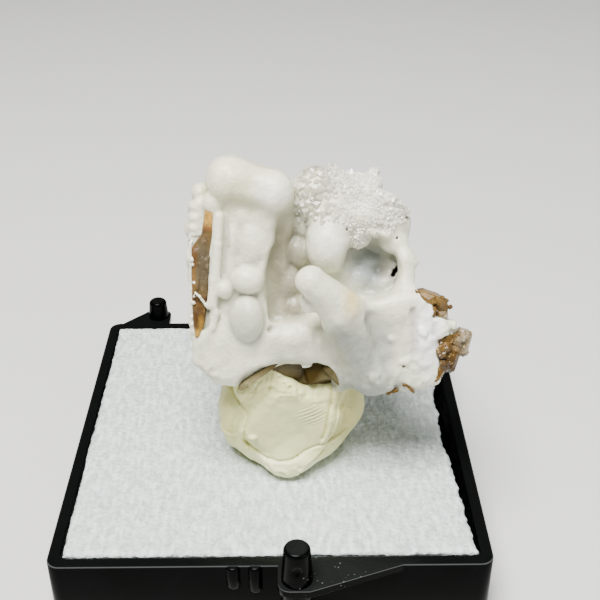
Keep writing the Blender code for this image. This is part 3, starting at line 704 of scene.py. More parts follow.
def plastic_paint():
    paint = Paint("black_gloss_plastic")
    haze = paint.spread(paint.noise(6.0, 4, 0.6), 0.35, 0.7)
    dust = paint.spread(paint.cells(0.7), 0.08, 0.14, 1.0, 0.0)
    spot = paint.node("ShaderNodeVectorMath", {0: paint.place, 1: DUSTY_PLACE}, operation="DISTANCE")
    close = paint.spread(spot.outputs["Value"], 0.002, 0.0055, 0.5, 0.0)
    scarce = paint.spread(paint.maths("ADD", paint.noise(1.1, 2), close), 0.72, 0.78)
    specks = paint.maths("MULTIPLY", dust, scarce)
    base = paint.mix(haze, rgb(2, 2, 2), rgb(4, 5, 5))
    normal = paint.node("ShaderNodeNewGeometry").outputs["Normal"]
    facing = paint.node("ShaderNodeSeparateXYZ", {"Vector": normal})
    film = paint.spread(spot.outputs["Value"], 0.003, 0.012, 0.9, 0.25)
    film = paint.maths("MULTIPLY", film, paint.spread(facing.outputs["Z"], 0.85, 1.0))
    base = paint.mix(film, base, rgb(23, 25, 24))
    # Painted highlight: a pale ring along the rounded top edge of the rim and flange stands in for the
    # light they reflect
    base = paint.mix(paint.attribute("painted_highlight_ring").outputs["Fac"], base, rgb(70, 73, 73))
    paint.set(Base_Color=paint.mix(specks, base, rgb(92, 94, 94)))
    scuff = paint.spread(paint.noise(1.2, 4, 0.7), 0.3, 0.8, 0.1, 0.28)
    paint.set(Roughness=paint.maths("MAXIMUM", scuff, specks))
    paint.set(Normal=paint.bump(paint.noise(3.0, 2), 0.03, 0.3), IOR=1.5, Specular_IOR_Level=0.036)
    return paint.material


# A zone's colour is full to half its reach, and gone at one and a half times it
ZONE_END = 1.5


def tint_and_shade_points(piece, points, base, zones, shade=1.0):
    """Colour each point from zones: centre, reach, colour, strength; then multiply it by the painted shade
    factor.
    """
    colours = np.tile(np.array(base, float), (len(points), 1))
    for centre, reach, colour, strength in zones:
        away = np.sqrt((((points - np.array(centre)) / np.array(reach)) ** 2).sum(axis=1))
        share = strength * unit(ZONE_END - away)[:, None]
        colours += share * (np.array(colour, float) - colours)
    colours[:, :3] *= np.reshape(shade, (-1, 1))
    # The colour layer carries the tints together with any painted shade and painted light
    layer = piece.data.color_attributes.new("tint_and_painted_light", "FLOAT_COLOR", "POINT")
    layer.data.foreach_set("color", colours.astype(np.float32).ravel())


# The crust


def three(rng, low, high):
    return [rng.uniform(low, high) for _ in range(3)]


def face_lumps(slab, axis, side, count, seed):
    """Seeded lumps on one face of a slab: their centres and radii."""
    centre, half, _, turn, _ = SLABS[slab]
    place = placed(centre, turn)
    rng = random.Random(seed)
    for _ in range(count):
        radius = rng.uniform(*LUMP_RADII)
        point = [rng.uniform(-LUMP_SPREAD, LUMP_SPREAD) * size for size in half]
        point[axis] = side * (half[axis] - LUMP_SUNK * radius)
        yield place @ Vector(point), radius


def change_balls(change, balls):
    """Balls that are added to a field or cut out of it."""
    for centre, radii, blend in balls:
        change(Ball(centre, radii), blend)


def change_path(change, path, radius, blend):
    """Rods end to end along a path, added to a field or cut out of it."""
    for start, end in zip(path, path[1:]):
        change(Rod(start, end, radius, radius), blend)


def add_rubble(field):
    rng = random.Random(RUBBLE_SEED)
    for (x0, x1), (z0, z1), count in RUBBLE:
        for _ in range(count):
            x, z = rng.uniform(x0, x1), rng.uniform(z0, z1)
            centre = (x, front_of(field, x, z) + RUBBLE_SUNK, z)
            half = three(rng, *RUBBLE_SIZE)
            turn = three(rng, -RUBBLE_TURN, RUBBLE_TURN)
            field.add(Slab(centre, half, CHIP_ROUNDING, turn), RUBBLE_BLEND)


def add_beads(field):
    rng = random.Random(BEAD_SEED)
    for height in BEAD_HEIGHTS:
        radius = BEAD_RADIUS * rng.uniform(0.7, 1.15)
        inset = BEAD_INSET if height > BEAD_INSET_ABOVE else 0.0
        x = BEAD_X + inset + rng.uniform(-0.15, 0.1)
        y = BEAD_Y - 2.4 * inset + rng.uniform(-0.3, 0.3)
        field.add(Ball((x, y, height), (radius, radius * 1.3, radius)), SHARP)


def crust_field():
    field = Field(CRUST_LOW, CRUST_HIGH, CRUST_STEP)
    for centre, half, rounding, turn, blend in SLABS.values():
        field.add(Slab(centre, half, rounding, turn), blend)
    change_balls(field.cut, DENTS.values())
    for face in LUMPY_FACES:
        for centre, radius in face_lumps(*face):
            field.add(Ball(centre, [radius] * 3), LUMP_BLEND)
    change_balls(field.add, BALLS.values())
    for *rod, blend in RODS.values():
        field.add(Rod(*rod), blend)
    change_balls(field.cut, HOLLOWS.values())
    change_balls(field.add, CAVITY_LUMPS.values())
    centre, half = STRIP_SEAT
    field.cut(Slab(centre, half, SHARP, (0, 0, 0)), SHARP)
    centre, half, turn = RIGHT_SLOPE
    field.cut(Slab(centre, half, SHARP, turn), RIGHT_SLOPE_BLEND)
    for centre, half, turn in CHIPS:
        field.add(Slab(centre, half, CHIP_ROUNDING, turn), CHIP_BLEND)
    add_rubble(field)
    for wave in CRUST_WAVES:
        roughen(field, *wave)
    roughen(field, *BROKEN_WAVES, broken_share)
    for ridge in RIDGES:
        change_path(field.add, *ridge)
    add_beads(field)
    for groove in GROOVES:
        change_path(field.cut, *groove)
    return field


def front_of(field, x, z):
    """Where the surface lies at a place on the face, seen along y."""
    i = int(round((x - field.low[0]) / field.step))
    k = int(round((z - field.low[2]) / field.step))
    inside = np.nonzero(field.value[i, :, k] < 0)[0]
    return float(field.axes[1][inside[0]]) if len(inside) else 0.0


# Where the coat is rough and sugary: right of and below these places, and a little all over
BROKEN_RIGHT = 8.0
BROKEN_TOP = 1.5
BROKEN_FOOT = -7.5
BROKEN_FADE = 3.0
BROKEN_LEAST = 0.25


def broken_share(x, y, z):
    right = unit((x - BROKEN_RIGHT) / BROKEN_FADE) * (z < BROKEN_TOP)
    foot = unit((BROKEN_FOOT - z) / BROKEN_FADE)
    return BROKEN_LEAST + np.maximum(right, foot)


# How far apart the surface is compared, and how strongly painted light brightens a crest and painted shade
# darkens a hollow
CREST_STEPS = 4
CREST_PAINTED_SHADE = 1.5
CREST_RANGE = (-0.2, 0.08)
CRUST_BASE = rgb(222, 221, 198)
# Colour zones of the coat: centre, reach, colour, strength. Besides the coat's own tints, some zones are
# painted light or painted shade, as noted
CRUST_ZONES = (
    ((-10.5, -2, 13.0), (5.5, 6, 3.6), rgb(226, 220, 180), 0.75),
    # Painted light on the cap's right knob and on the lobe, which face the light
    ((-7.4, -3.5, 12.6), (2.2, 3.0, 2.0), rgb(250, 250, 238), 0.8),
    ((-1.0, -3.8, 7.4), (2.2, 2.4, 2.6), rgb(242, 242, 228), 0.8),
    ((-10.7, -5.0, -3.0), (2.2, 2.0, 2.8), rgb(176, 178, 162), 0.8),
    # The recess: a beige tint darkened with painted shade, darkest in the gap at its middle
    ((-6.6, -1.2, 4.4), (2.2, 2.2, 7.0), rgb(154, 147, 122), 1.0),
    ((-5.6, -0.6, -1.2), (2.3, 2.3, 2.3), rgb(158, 152, 128), 1.0),
    ((-5.2, -0.9, 2.9), (1.4, 2.2, 4.6), rgb(134, 130, 112), 0.8),
    # Painted shade in the cavity, bluish grey, and in its right hollow
    ((4.6, 0.6, 3.0), (3.0, 3.0, 3.4), rgb(144, 150, 151), 0.95),
    ((6.6, 0.4, 2.4), (1.2, 2.0, 1.6), rgb(150, 146, 134), 0.9),
    ((1.6, -6.3, -0.2), (1.2, 2.0, 2.0), rgb(212, 188, 120), 0.8),
    # Painted shade on the flank that faces down, under the finger, in the valley beside the plate and on
    # the foot
    ((2.8, -5.6, -6.4), (3.0, 3.4, 4.6), rgb(146, 148, 140), 0.9),
    ((0.5, -6.4, -4.3), (1.7, 2.0, 2.4), rgb(140, 142, 134), 0.8),
    ((5.8, -4.8, -7.0), (1.2, 1.5, 3.4), rgb(176, 178, 170), 0.8),
    ((3.6, -2.6, -11.4), (5.0, 3.4, 2.2), rgb(142, 145, 138), 1.0),
    ((9.4, -4.4, -4.5), (0.5, 1.5, 2.6), rgb(226, 206, 200), 0.6),
    # Painted light on the plate's face between the rubble, brightened against its shading
    ((11.2, -3.0, -4.5), (1.7, 3.0, 4.8), rgb(255, 255, 250), 1.0),
    ((-4.0, -2.6, -8.4), (7.0, 1.6, 0.7), rgb(190, 186, 168), 0.5),
)


def crest_share(field, points):
    """Above zero on the crests of the surface, below it in its hollows."""
    at = field.nearest(points, CREST_STEPS)
    total = -6.0 * field.value[tuple(at.T)]
    for axis in range(3):
        for way in (-CREST_STEPS, CREST_STEPS):
            total += field.beside(at, axis, way)
    return total / 6.0


def build_crust():
    field = crust_field()
    points, quads = largest_part(*surface_of(field))
    crust = mesh_piece("quartz_coat", specimen_to_row(points), quads.tolist(), quartz_paint())
    # Painted shade in the hollows and painted light on the crests, multiplied into the coat's colour
    shade = 1.0 + CREST_PAINTED_SHADE * np.clip(crest_share(field, points), *CREST_RANGE)
    tint_and_shade_points(crust, points, CRUST_BASE, CRUST_ZONES, shade)
    note_points(crust, "broken", unit(broken_share(*points.T) - BROKEN_LEAST))
    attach(crust, "root")
    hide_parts("quartz_crust")
    return field, points


# The druse

# The druse's span across, its lower edge across and up, and the place where it ends at the back
DRUSE_X = (-4.9, 9.4)
DRUSE_EDGE = (
    (-4.9, 9.2), (-3.6, 8.4), (-2.6, 9.0), (0.6, 9.2), (1.5, 8.4), (2.0, 5.8), (3.0, 5.4), (3.7, 6.8),
    (5.0, 7.0), (6.6, 7.8), (8.6, 8.8), (9.4, 9.2),
)
DRUSE_BACK = 9.0
DRUSE_WAVE = (0.5, 1.2, 9)
DRUSE_LEAST = 0.02
COARSE_SPACING = 0.74
FINE_SPACING = 0.34
COARSE_AT = -2.6
COARSE_REACH = 4.6
CRYSTAL_SEED = 41
CRYSTAL_SIZE = (0.75, 1.35)
CRYSTAL_HEIGHT = (0.7, 1.3)
CRYSTAL_LEAN = 0.35
CRYSTAL_SKEW = 0.2
# How deep the crystals stand in the coat, and how much deeper in the druse's low middle
CRYSTAL_SUNK = 0.42
MIDDLE_SUNK = 0.3
MIDDLE = (2.6, 11.0)
MIDDLE_REACH = (2.4, 2.0)
# Larger crystals on the skyline: tip, radius, direction
CROWN = (
    ((-4.25, 0.6, 14.7), 0.4, (-0.5, -0.1, 1)),
    ((-3.4, 0.6, 15.7), 0.5, (-0.15, -0.1, 1)),
    ((-2.4, 0.4, 15.5), 0.65, (0.1, -0.2, 1)),
    ((-1.2, 0.2, 14.9), 0.45, (0.4, -0.2, 1)),
    ((0.0, 0.4, 14.9), 0.5, (-0.1, -0.1, 1)),
    ((1.35, 0.3, 14.7), 0.4, (-0.3, -0.1, 1)),
    ((2.05, 0.5, 15.15), 0.6, (0.1, -0.1, 1)),
    ((3.4, 0.4, 14.6), 0.35, (0.1, -0.1, 1)),
    ((5.0, 0.4, 13.9), 0.5, (0.25, -0.1, 1)),
    ((5.9, 0.4, 13.3), 0.4, (0.7, -0.1, 0.8)),
    ((6.7, 0.4, 12.2), 0.4, (0.9, -0.1, 0.6)),
    ((7.5, 0.4, 11.5), 0.35, (0.8, -0.1, 0.6)),
    ((8.5, 0.6, 10.8), 0.4, (0.9, -0.1, 0.6)),
    ((9.0, 0.6, 9.9), 0.3, (1, -0.1, 0.2)),
)


def add_crystal(bm, foot, way, radius, height, spin, skew):
    """A six-sided quartz crystal with a pointed, slightly uneven tip."""
    place = Matrix.Translation(foot) @ way.to_track_quat("Z", "Y").to_matrix().to_4x4()
    rings = []
    for level, size in ((-0.9 * radius, 1.0), (height * 0.45, 0.96)):
        ring = []
        for step in range(6):
            angle = spin + step * math.tau / 6
            side = (-1) ** step
            reach = radius * size * (1.0 + 0.14 * side)
            drop = skew * side * radius if level > 0 else 0.0
            corner = Vector((reach * math.cos(angle), reach * math.sin(angle), level + drop))
            ring.append(bm.verts.new(place @ corner))
        rings.append(ring)
    tip = bm.verts.new(place @ Vector((skew * radius, 0.4 * skew * radius, height)))
    low, high = rings
    bm.faces.new(low[::-1])
    for step in range(6):
        after = (step + 1) % 6
        bm.faces.new((low[step], low[after], high[after], high[step]))
        bm.faces.new((high[step], high[after], tip))


def slope_at(field, points):
    """Directions in which the field grows fastest, that is out of the stone."""
    at = field.nearest(points, 1)
    grown = np.stack([field.beside(at, axis, 1) - field.beside(at, axis, -1) for axis in range(3)], 1)
    return grown / np.maximum(np.linalg.norm(grown, axis=1), 1e-6)[:, None]


def scattered(points, spacing, rng):
    """Numbers of points no closer to each other than the spacing at each."""
    order = list(range(len(points)))
    rng.shuffle(order)
    cell = float(spacing.max())
    taken = {}
    chosen = []
    for number in order:
        point = points[number]
        key = tuple(int(math.floor(value / cell)) for value in point)
        near = [other for a in (-1, 0, 1) for b in (-1, 0, 1) for c in (-1, 0, 1)
                for other in taken.get((key[0] + a, key[1] + b, key[2] + c), ())]
        if all(np.sum((points[other] - point) ** 2) > spacing[number] ** 2 for other in near):
            taken.setdefault(key, []).append(number)
            chosen.append(number)
    return chosen


def druse_share(points):
    """How far into the druse each point lies, from 0 outside to 1 well inside."""
    x, y, z = points.T
    edge = np.interp(x, [a for a, _ in DRUSE_EDGE], [b for _, b in DRUSE_EDGE])
    depth, cell, seed = DRUSE_WAVE
    edge = edge + depth * value_noise(x, y, z, cell, seed)
    sides = unit(np.minimum(x - DRUSE_X[0], DRUSE_X[1] - x) / 0.6)
    return sides * unit((z - edge) / 1.6) * unit((DRUSE_BACK - y) / 2.0)


def coarseness(x):
    """From 1 where the crystals are largest and clearest down to 0."""
    return unit(1.0 - np.abs(x - COARSE_AT) / COARSE_REACH)


def druse_spacing(x):
    right = unit((x - 4.5) / 2.5)
    share = np.maximum(coarseness(x) * 1.3, 0.4 * right).clip(0, 1)
    return FINE_SPACING + (COARSE_SPACING - FINE_SPACING) * share


def build_druse(field, points):
    share = druse_share(points)
    inside = points[share > DRUSE_LEAST]
    share = share[share > DRUSE_LEAST]
    ways = slope_at(field, inside)
    spacing = druse_spacing(inside[:, 0])
    rng = random.Random(CRYSTAL_SEED)
    bm = bmesh.new()
    for number in scattered(inside, spacing, rng):
        point, depth = inside[number], share[number]
        size = spacing[number] * (0.6 + 0.2 * depth) * rng.uniform(*CRYSTAL_SIZE)
        lean = Vector(three(rng, -CRYSTAL_LEAN, CRYSTAL_LEAN))
        way = (Vector(ways[number]) + lean).normalized()
        height = size * rng.uniform(*CRYSTAL_HEIGHT)
        away = [(point[axis] - at) / reach for axis, at, reach in zip((0, 2), MIDDLE, MIDDLE_REACH)]
        middle = math.exp(-away[0] ** 2 - away[1] ** 2)
        foot = Vector(point) - way * size * (CRYSTAL_SUNK + MIDDLE_SUNK * middle)
        spin, skew = rng.uniform(0, 1), rng.uniform(-CRYSTAL_SKEW, CRYSTAL_SKEW)
        add_crystal(bm, foot, way, size, height, spin, skew)
    for tip, radius, way in CROWN:
        way = Vector(way).normalized()
        height = radius * 2.0
        foot = Vector(tip) - way * height
        add_crystal(bm, foot, way, radius, height, rng.uniform(0, 1), 0.15)
    verts, faces = from_bmesh(bm)
    druse = mesh_piece("druse_crystals", specimen_to_row(verts), faces, druse_paint(), False)
    note_points(druse, "clear", 0.15 + 0.5 * coarseness(verts[:, 0]))
    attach(druse, "root")


# Barite

# The broken face of the left blade, across and up
STRIP_OUTLINE = (
    (-15.5, 10.7), (-14.5, 10.7), (-14.6, 8.0), (-14.9, 5.0), (-15.2, 2.0),
    (-15.5, -1.0), (-15.9, -3.3), (-16.6, -5.1), (-17.0, -5.0), (-17.25, -3.0),
    (-17.3, -0.6), (-17.3, 3.0), (-17.2, 6.0), (-16.4, 7.2), (-16.0, 7.6),
)
STRIP_FRONT = -3.9
STRIP_SUNK = 0.35
STRIP_BACK = 0.4
STRIP_TOP = 10.65
STRIP_LENGTH = 15.6
STRIP_ROWS = 65
STRIP_COLUMNS = 10
STRIP_FACETS = 26
STRIP_SEED = 6
# Broken blocks of the upper group: outline across and up, front, back
UPPER_BLOCKS = (
    (((9.3, 0.3), (9.6, 0.9), (9.95, 0.3), (10.4, 0.1), (9.9, -0.2), (9.35, 0.0)), -4.1, -1.6),
    (((10.1, 0.2), (11.0, 0.35), (12.1, -0.1), (12.4, -1.0), (11.7, -1.7), (10.6, -1.0)), -3.0, 0.2),
    (((11.8, 0.0), (12.9, -0.4), (13.6, -0.8), (13.9, -1.4), (13.8, -2.2), (12.6, -2.4), (11.8, -1.6)),
     -2.7, 0.6),
    (((12.2, -2.0), (13.8, -1.9), (13.95, -3.1), (13.0, -3.0), (12.3, -2.8)), -2.5, 0.2),
    (((11.2, -1.2), (12.2, -1.5), (12.2, -2.4), (11.4, -3.6), (11.15, -2.6)), -3.9, -0.8),
    (((11.0, -0.4), (13.5, -0.8), (13.8, -2.8), (12.6, -3.3), (11.1, -2.6)), -2.3, 0.4),
)
# How a block's edge stands back from its front, how its face is inset and stepped, and its peak
BLOCK_EDGE = (0.35, 0.7)
BLOCK_INSET = (0.12, 0.3)
BLOCK_STEP = (0.0, 0.3)
BLOCK_PEAK = 0.12
BLOCK_CHIPS = 3
BLOCK_CHIP_SIZE = (0.12, 0.3)
# Tablets of the other groups: centre, half size, turn
LOWER_TABLETS = (
    ((15.75, -1.2, -6.25), (0.85, 1.3, 1.65), (0, 16, 8)),
    ((13.5, -2.2, -5.6), (0.9, 0.9, 0.55), (0, -20, 0)),
    ((14.9, -1.6, -5.7), (0.75, 1.4, 0.8), (0, 30, 0)),
    ((13.2, -2.8, -6.6), (1.0, 1.0, 0.65), (8, -36, 0)),
    ((14.1, -1.9, -7.9), (1.15, 1.4, 1.8), (0, 16, -6)),
    ((12.6, -2.3, -9.7), (0.7, 1.2, 1.0), (0, 30, 0)),
    ((13.3, -2.8, -8.6), (0.6, 0.7, 0.7), (20, 10, 20)),
)
FOOT_TABLETS = (
    ((9.0, -3.1, -11.3), (1.05, 1.0, 0.22), (0, 46, 0)),
    ((7.0, -2.9, -11.9), (0.8, 1.0, 0.18), (0, -10, 0)),
)
CORE_TABLETS = (
    ((-4.3, 3.2, -9.7), (5.3, 3.7, 2.4), (6, 4, 0)),
    ((-6.4, 2.5, -9.3), (2.8, 3.8, 1.65), (0, 16, 10)),
    ((-1.4, 2.4, -9.9), (2.6, 3.8, 1.7), (0, -18, -8)),
    ((-9.5, -1.9, -9.95), (2.7, 1.3, 0.42), (0, -34, 4)),
    ((-11.3, -1.8, -11.3), (0.8, 1.1, 0.35), (0, -44, 0)),
    ((0.2, -0.9, -10.3), (1.9, 1.3, 0.8), (0, 44, 0)),
)
TABLET_BEVEL = 0.3
TABLET_CHIP_SIZE = (0.16, 0.42)


# How layered, clear, rough, gritty with painted glints, and shiny each piece is
BARITE_LOOKS = {
    "barite_strip": (0.45, 0.05, 0.42, 0.15, 0.18),
    "barite_upper": (0.7, 0.15, 0.24, 0.5, 0.12),
    "barite_lower": (0.5, 0.3, 0.1, 1.1, 0.3),
    "barite_foot": (0.8, 0.3, 0.1, 0.5, 0.15),
    "barite_core_blades": (0.3, 0.0, 0.4, 0.0, 0.03),
}
BARITE_BASE = rgb(106, 80, 38)
# The core's dark olive brown, darkened further as painted shade where it lies under the arch of the coat
CORE_BASE = rgb(62, 48, 14)
AMBER = rgb(142, 110, 50)
GLASSY = rgb(212, 204, 178)
# Colour zones: centre, reach, colour, strength
UPPER_ZONES = (
    ((11.2, -2, -0.4), (1.4, 3, 1.0), AMBER, 0.9), ((13.4, -2, -3.0), (0.6, 3, 0.35), GLASSY, 0.8),
    ((13.2, -2, -1.2), (0.9, 3, 0.8), rgb(88, 72, 44), 0.5),
)
LOWER_ZONES = (
    ((16.0, -1, -6.2), (0.75, 3, 1.5), GLASSY, 1.0), ((13.3, -2, -6.7), (0.9, 2, 0.6), AMBER, 1.0),
    ((14.0, -2, -8.0), (1.4, 3, 2.2), rgb(64, 42, 14), 0.9),
)
CORE_ZONES = (
    # The two darkest zones: the core's olive brown darkened with painted shade under the arch
    ((-6.0, -1, -9.4), (2.6, 4, 2.6), rgb(40, 33, 14), 1.0),
    ((-1.8, -1, -9.6), (2.0, 4, 1.8), rgb(60, 51, 26), 1.0),
    ((-2.9, -1, -8.8), (0.7, 4, 0.4), rgb(176, 170, 152), 0.9),
    ((0.4, -1, -10.6), (1.4, 4, 1.6), rgb(122, 116, 84), 1.0),
    ((-10.6, -1, -10.4), (2.6, 4, 1.8), rgb(158, 148, 108), 1.0),
)
STRIP_ZONES = (
    ((-15.0, -4, 9.8), (0.9, 4, 1.0), rgb(188, 146, 66), 1.0),
    ((-15.2, -4, 8.4), (0.8, 4, 0.25), rgb(128, 78, 26), 0.9),
    ((-15.8, -4, 4.0), (1.2, 4, 3.6), rgb(84, 74, 54), 1.0),
    ((-17.0, -4, 5.2), (0.4, 4, 1.6), rgb(96, 60, 22), 1.0),
    ((-17.1, -4, 2.0), (0.3, 4, 2.2), rgb(120, 84, 34), 0.9),
    ((-16.0, -4, -0.3), (1.4, 4, 0.35), rgb(60, 38, 14), 1.0),
    ((-16.5, -4, -2.2), (0.9, 4, 1.5), rgb(70, 46, 12), 1.0),
    ((-16.2, -4, -3.2), (0.35, 4, 0.9), rgb(150, 112, 36), 0.9),
    ((-16.6, -4, -4.5), (0.6, 4, 0.6), rgb(176, 138, 58), 1.0),
)


def add_hull(bm, points):
    """The flat-faced hull of some points."""
    piece = bmesh.new()
    for point in points:
        piece.verts.new(point)
    hull = bmesh.ops.convex_hull(piece, input=piece.verts)
    inside = [thing for thing in hull["geom_interior"] if isinstance(thing, bmesh.types.BMVert)]
    bmesh.ops.delete(piece, geom=inside, context="VERTS")
    bmesh.ops.dissolve_limit(piece, angle_limit=0.02, verts=piece.verts, edges=piece.edges)
    copied = {vert: bm.verts.new(vert.co) for vert in piece.verts}
    for face in piece.faces:
        bm.faces.new([copied[vert] for vert in face.verts])
    piece.free()


def add_tablet(bm, centre, half, turn, rng):
    """A barite tablet with cut edges, a little uneven."""
    place = placed(centre, turn)
    flat = 1 - TABLET_BEVEL
    points = []
    for corner in CORNERS:
        for axis in range(3):
            shares = [1.0 if n == axis else flat * rng.uniform(0.82, 1.0) for n in range(3)]
            reach = [(2 * c - 1) * h * share for c, h, share in zip(corner, half, shares)]
            points.append(place @ Vector(reach))
    add_hull(bm, points)


def add_block(bm, outline, front, back, rng):
    """A broken block: its front face is bevelled and split into uneven facets."""
    middle_x = sum(x for x, _ in outline) / len(outline)
    middle_z = sum(z for _, z in outline) / len(outline)
    points = []
    for x, z in outline:
        points.append((x, front + rng.uniform(*BLOCK_EDGE), z))
        points.append((x, back, z))
        inset = rng.uniform(*BLOCK_INSET)
        y = front + rng.uniform(*BLOCK_STEP)
        points.append((x + (middle_x - x) * inset, y, z + (middle_z - z) * inset))
    points.append((middle_x, front - BLOCK_PEAK, middle_z))
    add_hull(bm, points)


def chip_block(bm, outline, front, rng):
    """Small chips around the front edge of a block."""
    for _ in range(BLOCK_CHIPS):
        x, z = outline[rng.randrange(len(outline))]
        at = (x + rng.uniform(-0.3, 0.3), front + rng.uniform(0.3, 0.9), z + rng.uniform(-0.3, 0.3))
        size = three(rng, *BLOCK_CHIP_SIZE)
        add_tablet(bm, at, size, three(rng, -40, 40), rng)


def chip_tablet(bm, centre, half, turn, chips, rng):
    """Small chips that stand on the outer faces of a tablet."""
    place = placed(centre, turn)
    for _ in range(chips):
        way = Vector(three(rng, -1, 1))
        way.y = -abs(way.y)
        way /= max(abs(value) for value in way)
        at = place @ Vector([w * h * 0.72 for w, h in zip(way, half)])
        size = three(rng, *TABLET_CHIP_SIZE)
        spin = [angle + rng.uniform(-25, 25) for angle in turn]
        add_tablet(bm, at, size, spin, rng)


def build_cluster(name, node, seed, zones, tablets=(), chips=0, blocks=(), base=BARITE_BASE):
    """A group of broken blocks or tablets with their chips, in place of a node."""
    rng = random.Random(seed)
    bm = bmesh.new()
    for outline, front, back in blocks:
        add_block(bm, outline, front, back, rng)
        chip_block(bm, outline, front, rng)
    for centre, half, turn in tablets:
        add_tablet(bm, centre, half, turn, rng)
        chip_tablet(bm, centre, half, turn, chips, rng)
    points, faces = from_bmesh(bm)
    piece = mesh_piece(name, specimen_to_row(points), faces, barite_paint(*BARITE_LOOKS[name]), False)
    tint_and_shade_points(piece, points, base, zones)
    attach(piece, "root")
    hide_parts(node)


def outline_span(z):
    """The strip's left and right edge at a height."""
    crossings = []
    for (x0, z0), (x1, z1) in zip(STRIP_OUTLINE, STRIP_OUTLINE[1:] + STRIP_OUTLINE[:1]):
        if z0 != z1 and min(z0, z1) <= z <= max(z0, z1):
            crossings.append(x0 + (x1 - x0) * (z - z0) / (z1 - z0))
    return min(crossings), max(crossings)


def strip_facets():
    """Seeded flat steps of the fracture: place, depth, slope across and slope up."""
    rng = random.Random(STRIP_SEED)
    facets = []
    for _ in range(STRIP_FACETS):
        seed = (rng.uniform(-17.2, -14.6), rng.uniform(-5.0, 10.6))
        facets.append((seed, rng.uniform(-0.12, 0.2), rng.uniform(-0.25, 0.25), rng.uniform(-0.2, 0.2)))
    return facets


def facet_depth(facets, x, z):
    """How deep the fracture is at a place, mostly as deep as the nearest step."""
    total, shares = 0.0, 0.0
    for (seed_x, seed_z), depth, lean, tip in facets:
        away = (seed_x - x) ** 2 * 1.6 + (seed_z - z) ** 2 * 0.5
        share = 1.0 / (away + 0.02) ** 5
        total += share * (depth + lean * (x - seed_x) + tip * (z - seed_z) * 0.5)
        shares += share
    return total / shares


def rim_of(number):
    """The numbers around a grid, from its first corner and along its first row."""
    return np.concatenate([number[0, :-1], number[:-1, -1], number[-1, :0:-1], number[:0:-1, 0]])


def build_strip():
    """The broken face of the left blade: a fracture of small flat steps."""
    facets = strip_facets()
    points, faces = [], []
    for row in range(STRIP_ROWS + 1):
        z = STRIP_TOP - row * (STRIP_LENGTH / STRIP_ROWS)
        left, right = outline_span(z)
        for column in range(STRIP_COLUMNS + 1):
            x = left + (right - left) * (column / STRIP_COLUMNS)
            edge = column in (0, STRIP_COLUMNS) or row in (0, STRIP_ROWS)
            y = STRIP_SUNK if edge else min(facet_depth(facets, x, z), STRIP_SUNK)
            points.append((x, STRIP_FRONT + y, z))
    number = np.arange(len(points)).reshape(STRIP_ROWS + 1, STRIP_COLUMNS + 1)
    for row in range(STRIP_ROWS):
        for column in range(STRIP_COLUMNS):
            (a, c), (b, d) = number[row:row + 2, column:column + 2].tolist()
            if (row + column) % 2:
                faces += [(a, c, d), (a, d, b)]
            else:
                faces += [(a, c, b), (c, d, b)]
    ring = rim_of(number).tolist()
    back = len(points)
    points += [(points[n][0], STRIP_BACK, points[n][2]) for n in ring]
    for step in range(len(ring)):
        after = (step + 1) % len(ring)
        faces.append((ring[after], ring[step], back + step, back + after))
    faces.append(tuple(range(back, back + len(ring))))
    points = np.array(points)
    faces = [face[::-1] for face in faces]
    paint = barite_paint(*BARITE_LOOKS["barite_strip"])
    piece = mesh_piece("barite_strip", specimen_to_row(points), faces, paint, False)
    tint_and_shade_points(piece, points, BARITE_BASE, STRIP_ZONES)
    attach(piece, "root")
    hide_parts("barite_blade_left")


def build_barite():
    build_strip()
    build_cluster("barite_upper", "barite_crystals_upper", 21, UPPER_ZONES, blocks=UPPER_BLOCKS)
    build_cluster("barite_lower", "barite_crystals_lower", 22, LOWER_ZONES, LOWER_TABLETS, 16)
    build_cluster("barite_foot", "barite_blade_foot", 23, (), FOOT_TABLETS, 1)
    build_cluster("barite_core_blades", "barite_core", 24, CORE_ZONES, CORE_TABLETS, 1, base=CORE_BASE)


# The putty

PUTTY_STEP = 0.125
PUTTY_LOW = (-9.0, -14.0, 8.6)
PUTTY_HIGH = (14.0, 7.5, 27.0)
PUTTY_BOTTOM = FOAM_TOP + GAP
# The putty's forms: centre, half size, edge rounding, turn, blend, or centre, radii, blend
PUTTY_SLABS = (
    ((2.3, -2.8, 15.2), (8.5, 7.0, 6.6), 5.6, (-4, 0, 4), 1.0),
    ((2.2, -5.6, 15.9), (5.3, 4.9, 5.3), 1.6, (-10, 38, -3), 0.5),
)
PUTTY_BALLS = (
    ((2.2, -3.0, 12.2), (7.6, 7.5, 4.4), 1.6),
    ((1.8, -7.4, 11.6), (3.6, 4.3, 3.4), 1.0),
    ((-0.6, -8.0, 22.8), (2.2, 1.6, 1.9), 1.0),
    ((-1.5, -7.6, 23.5), (0.9, 1.3, 2.3), 0.5),
    ((-2.6, -7.4, 21.0), (2.2, 2.2, 2.2), 1.0),
    ((6.4, -5.8, 20.0), (3.3, 3.2, 2.4), 1.0),
    ((-5.2, -5.0, 15.6), (1.7, 3.6, 5.2), 0.8),
    ((9.6, -4.2, 16.2), (2.6, 3.6, 4.2), 0.9),
)
PUTTY_WAVES = ((3.2, 0.22, 31), (1.2, 0.07, 32))
# The flat face that a fingertip left
FACET_CENTRE = (2.2, -10.4, 16.6)
FACET_TILT = 10.0
FACET_REACH = 5.0
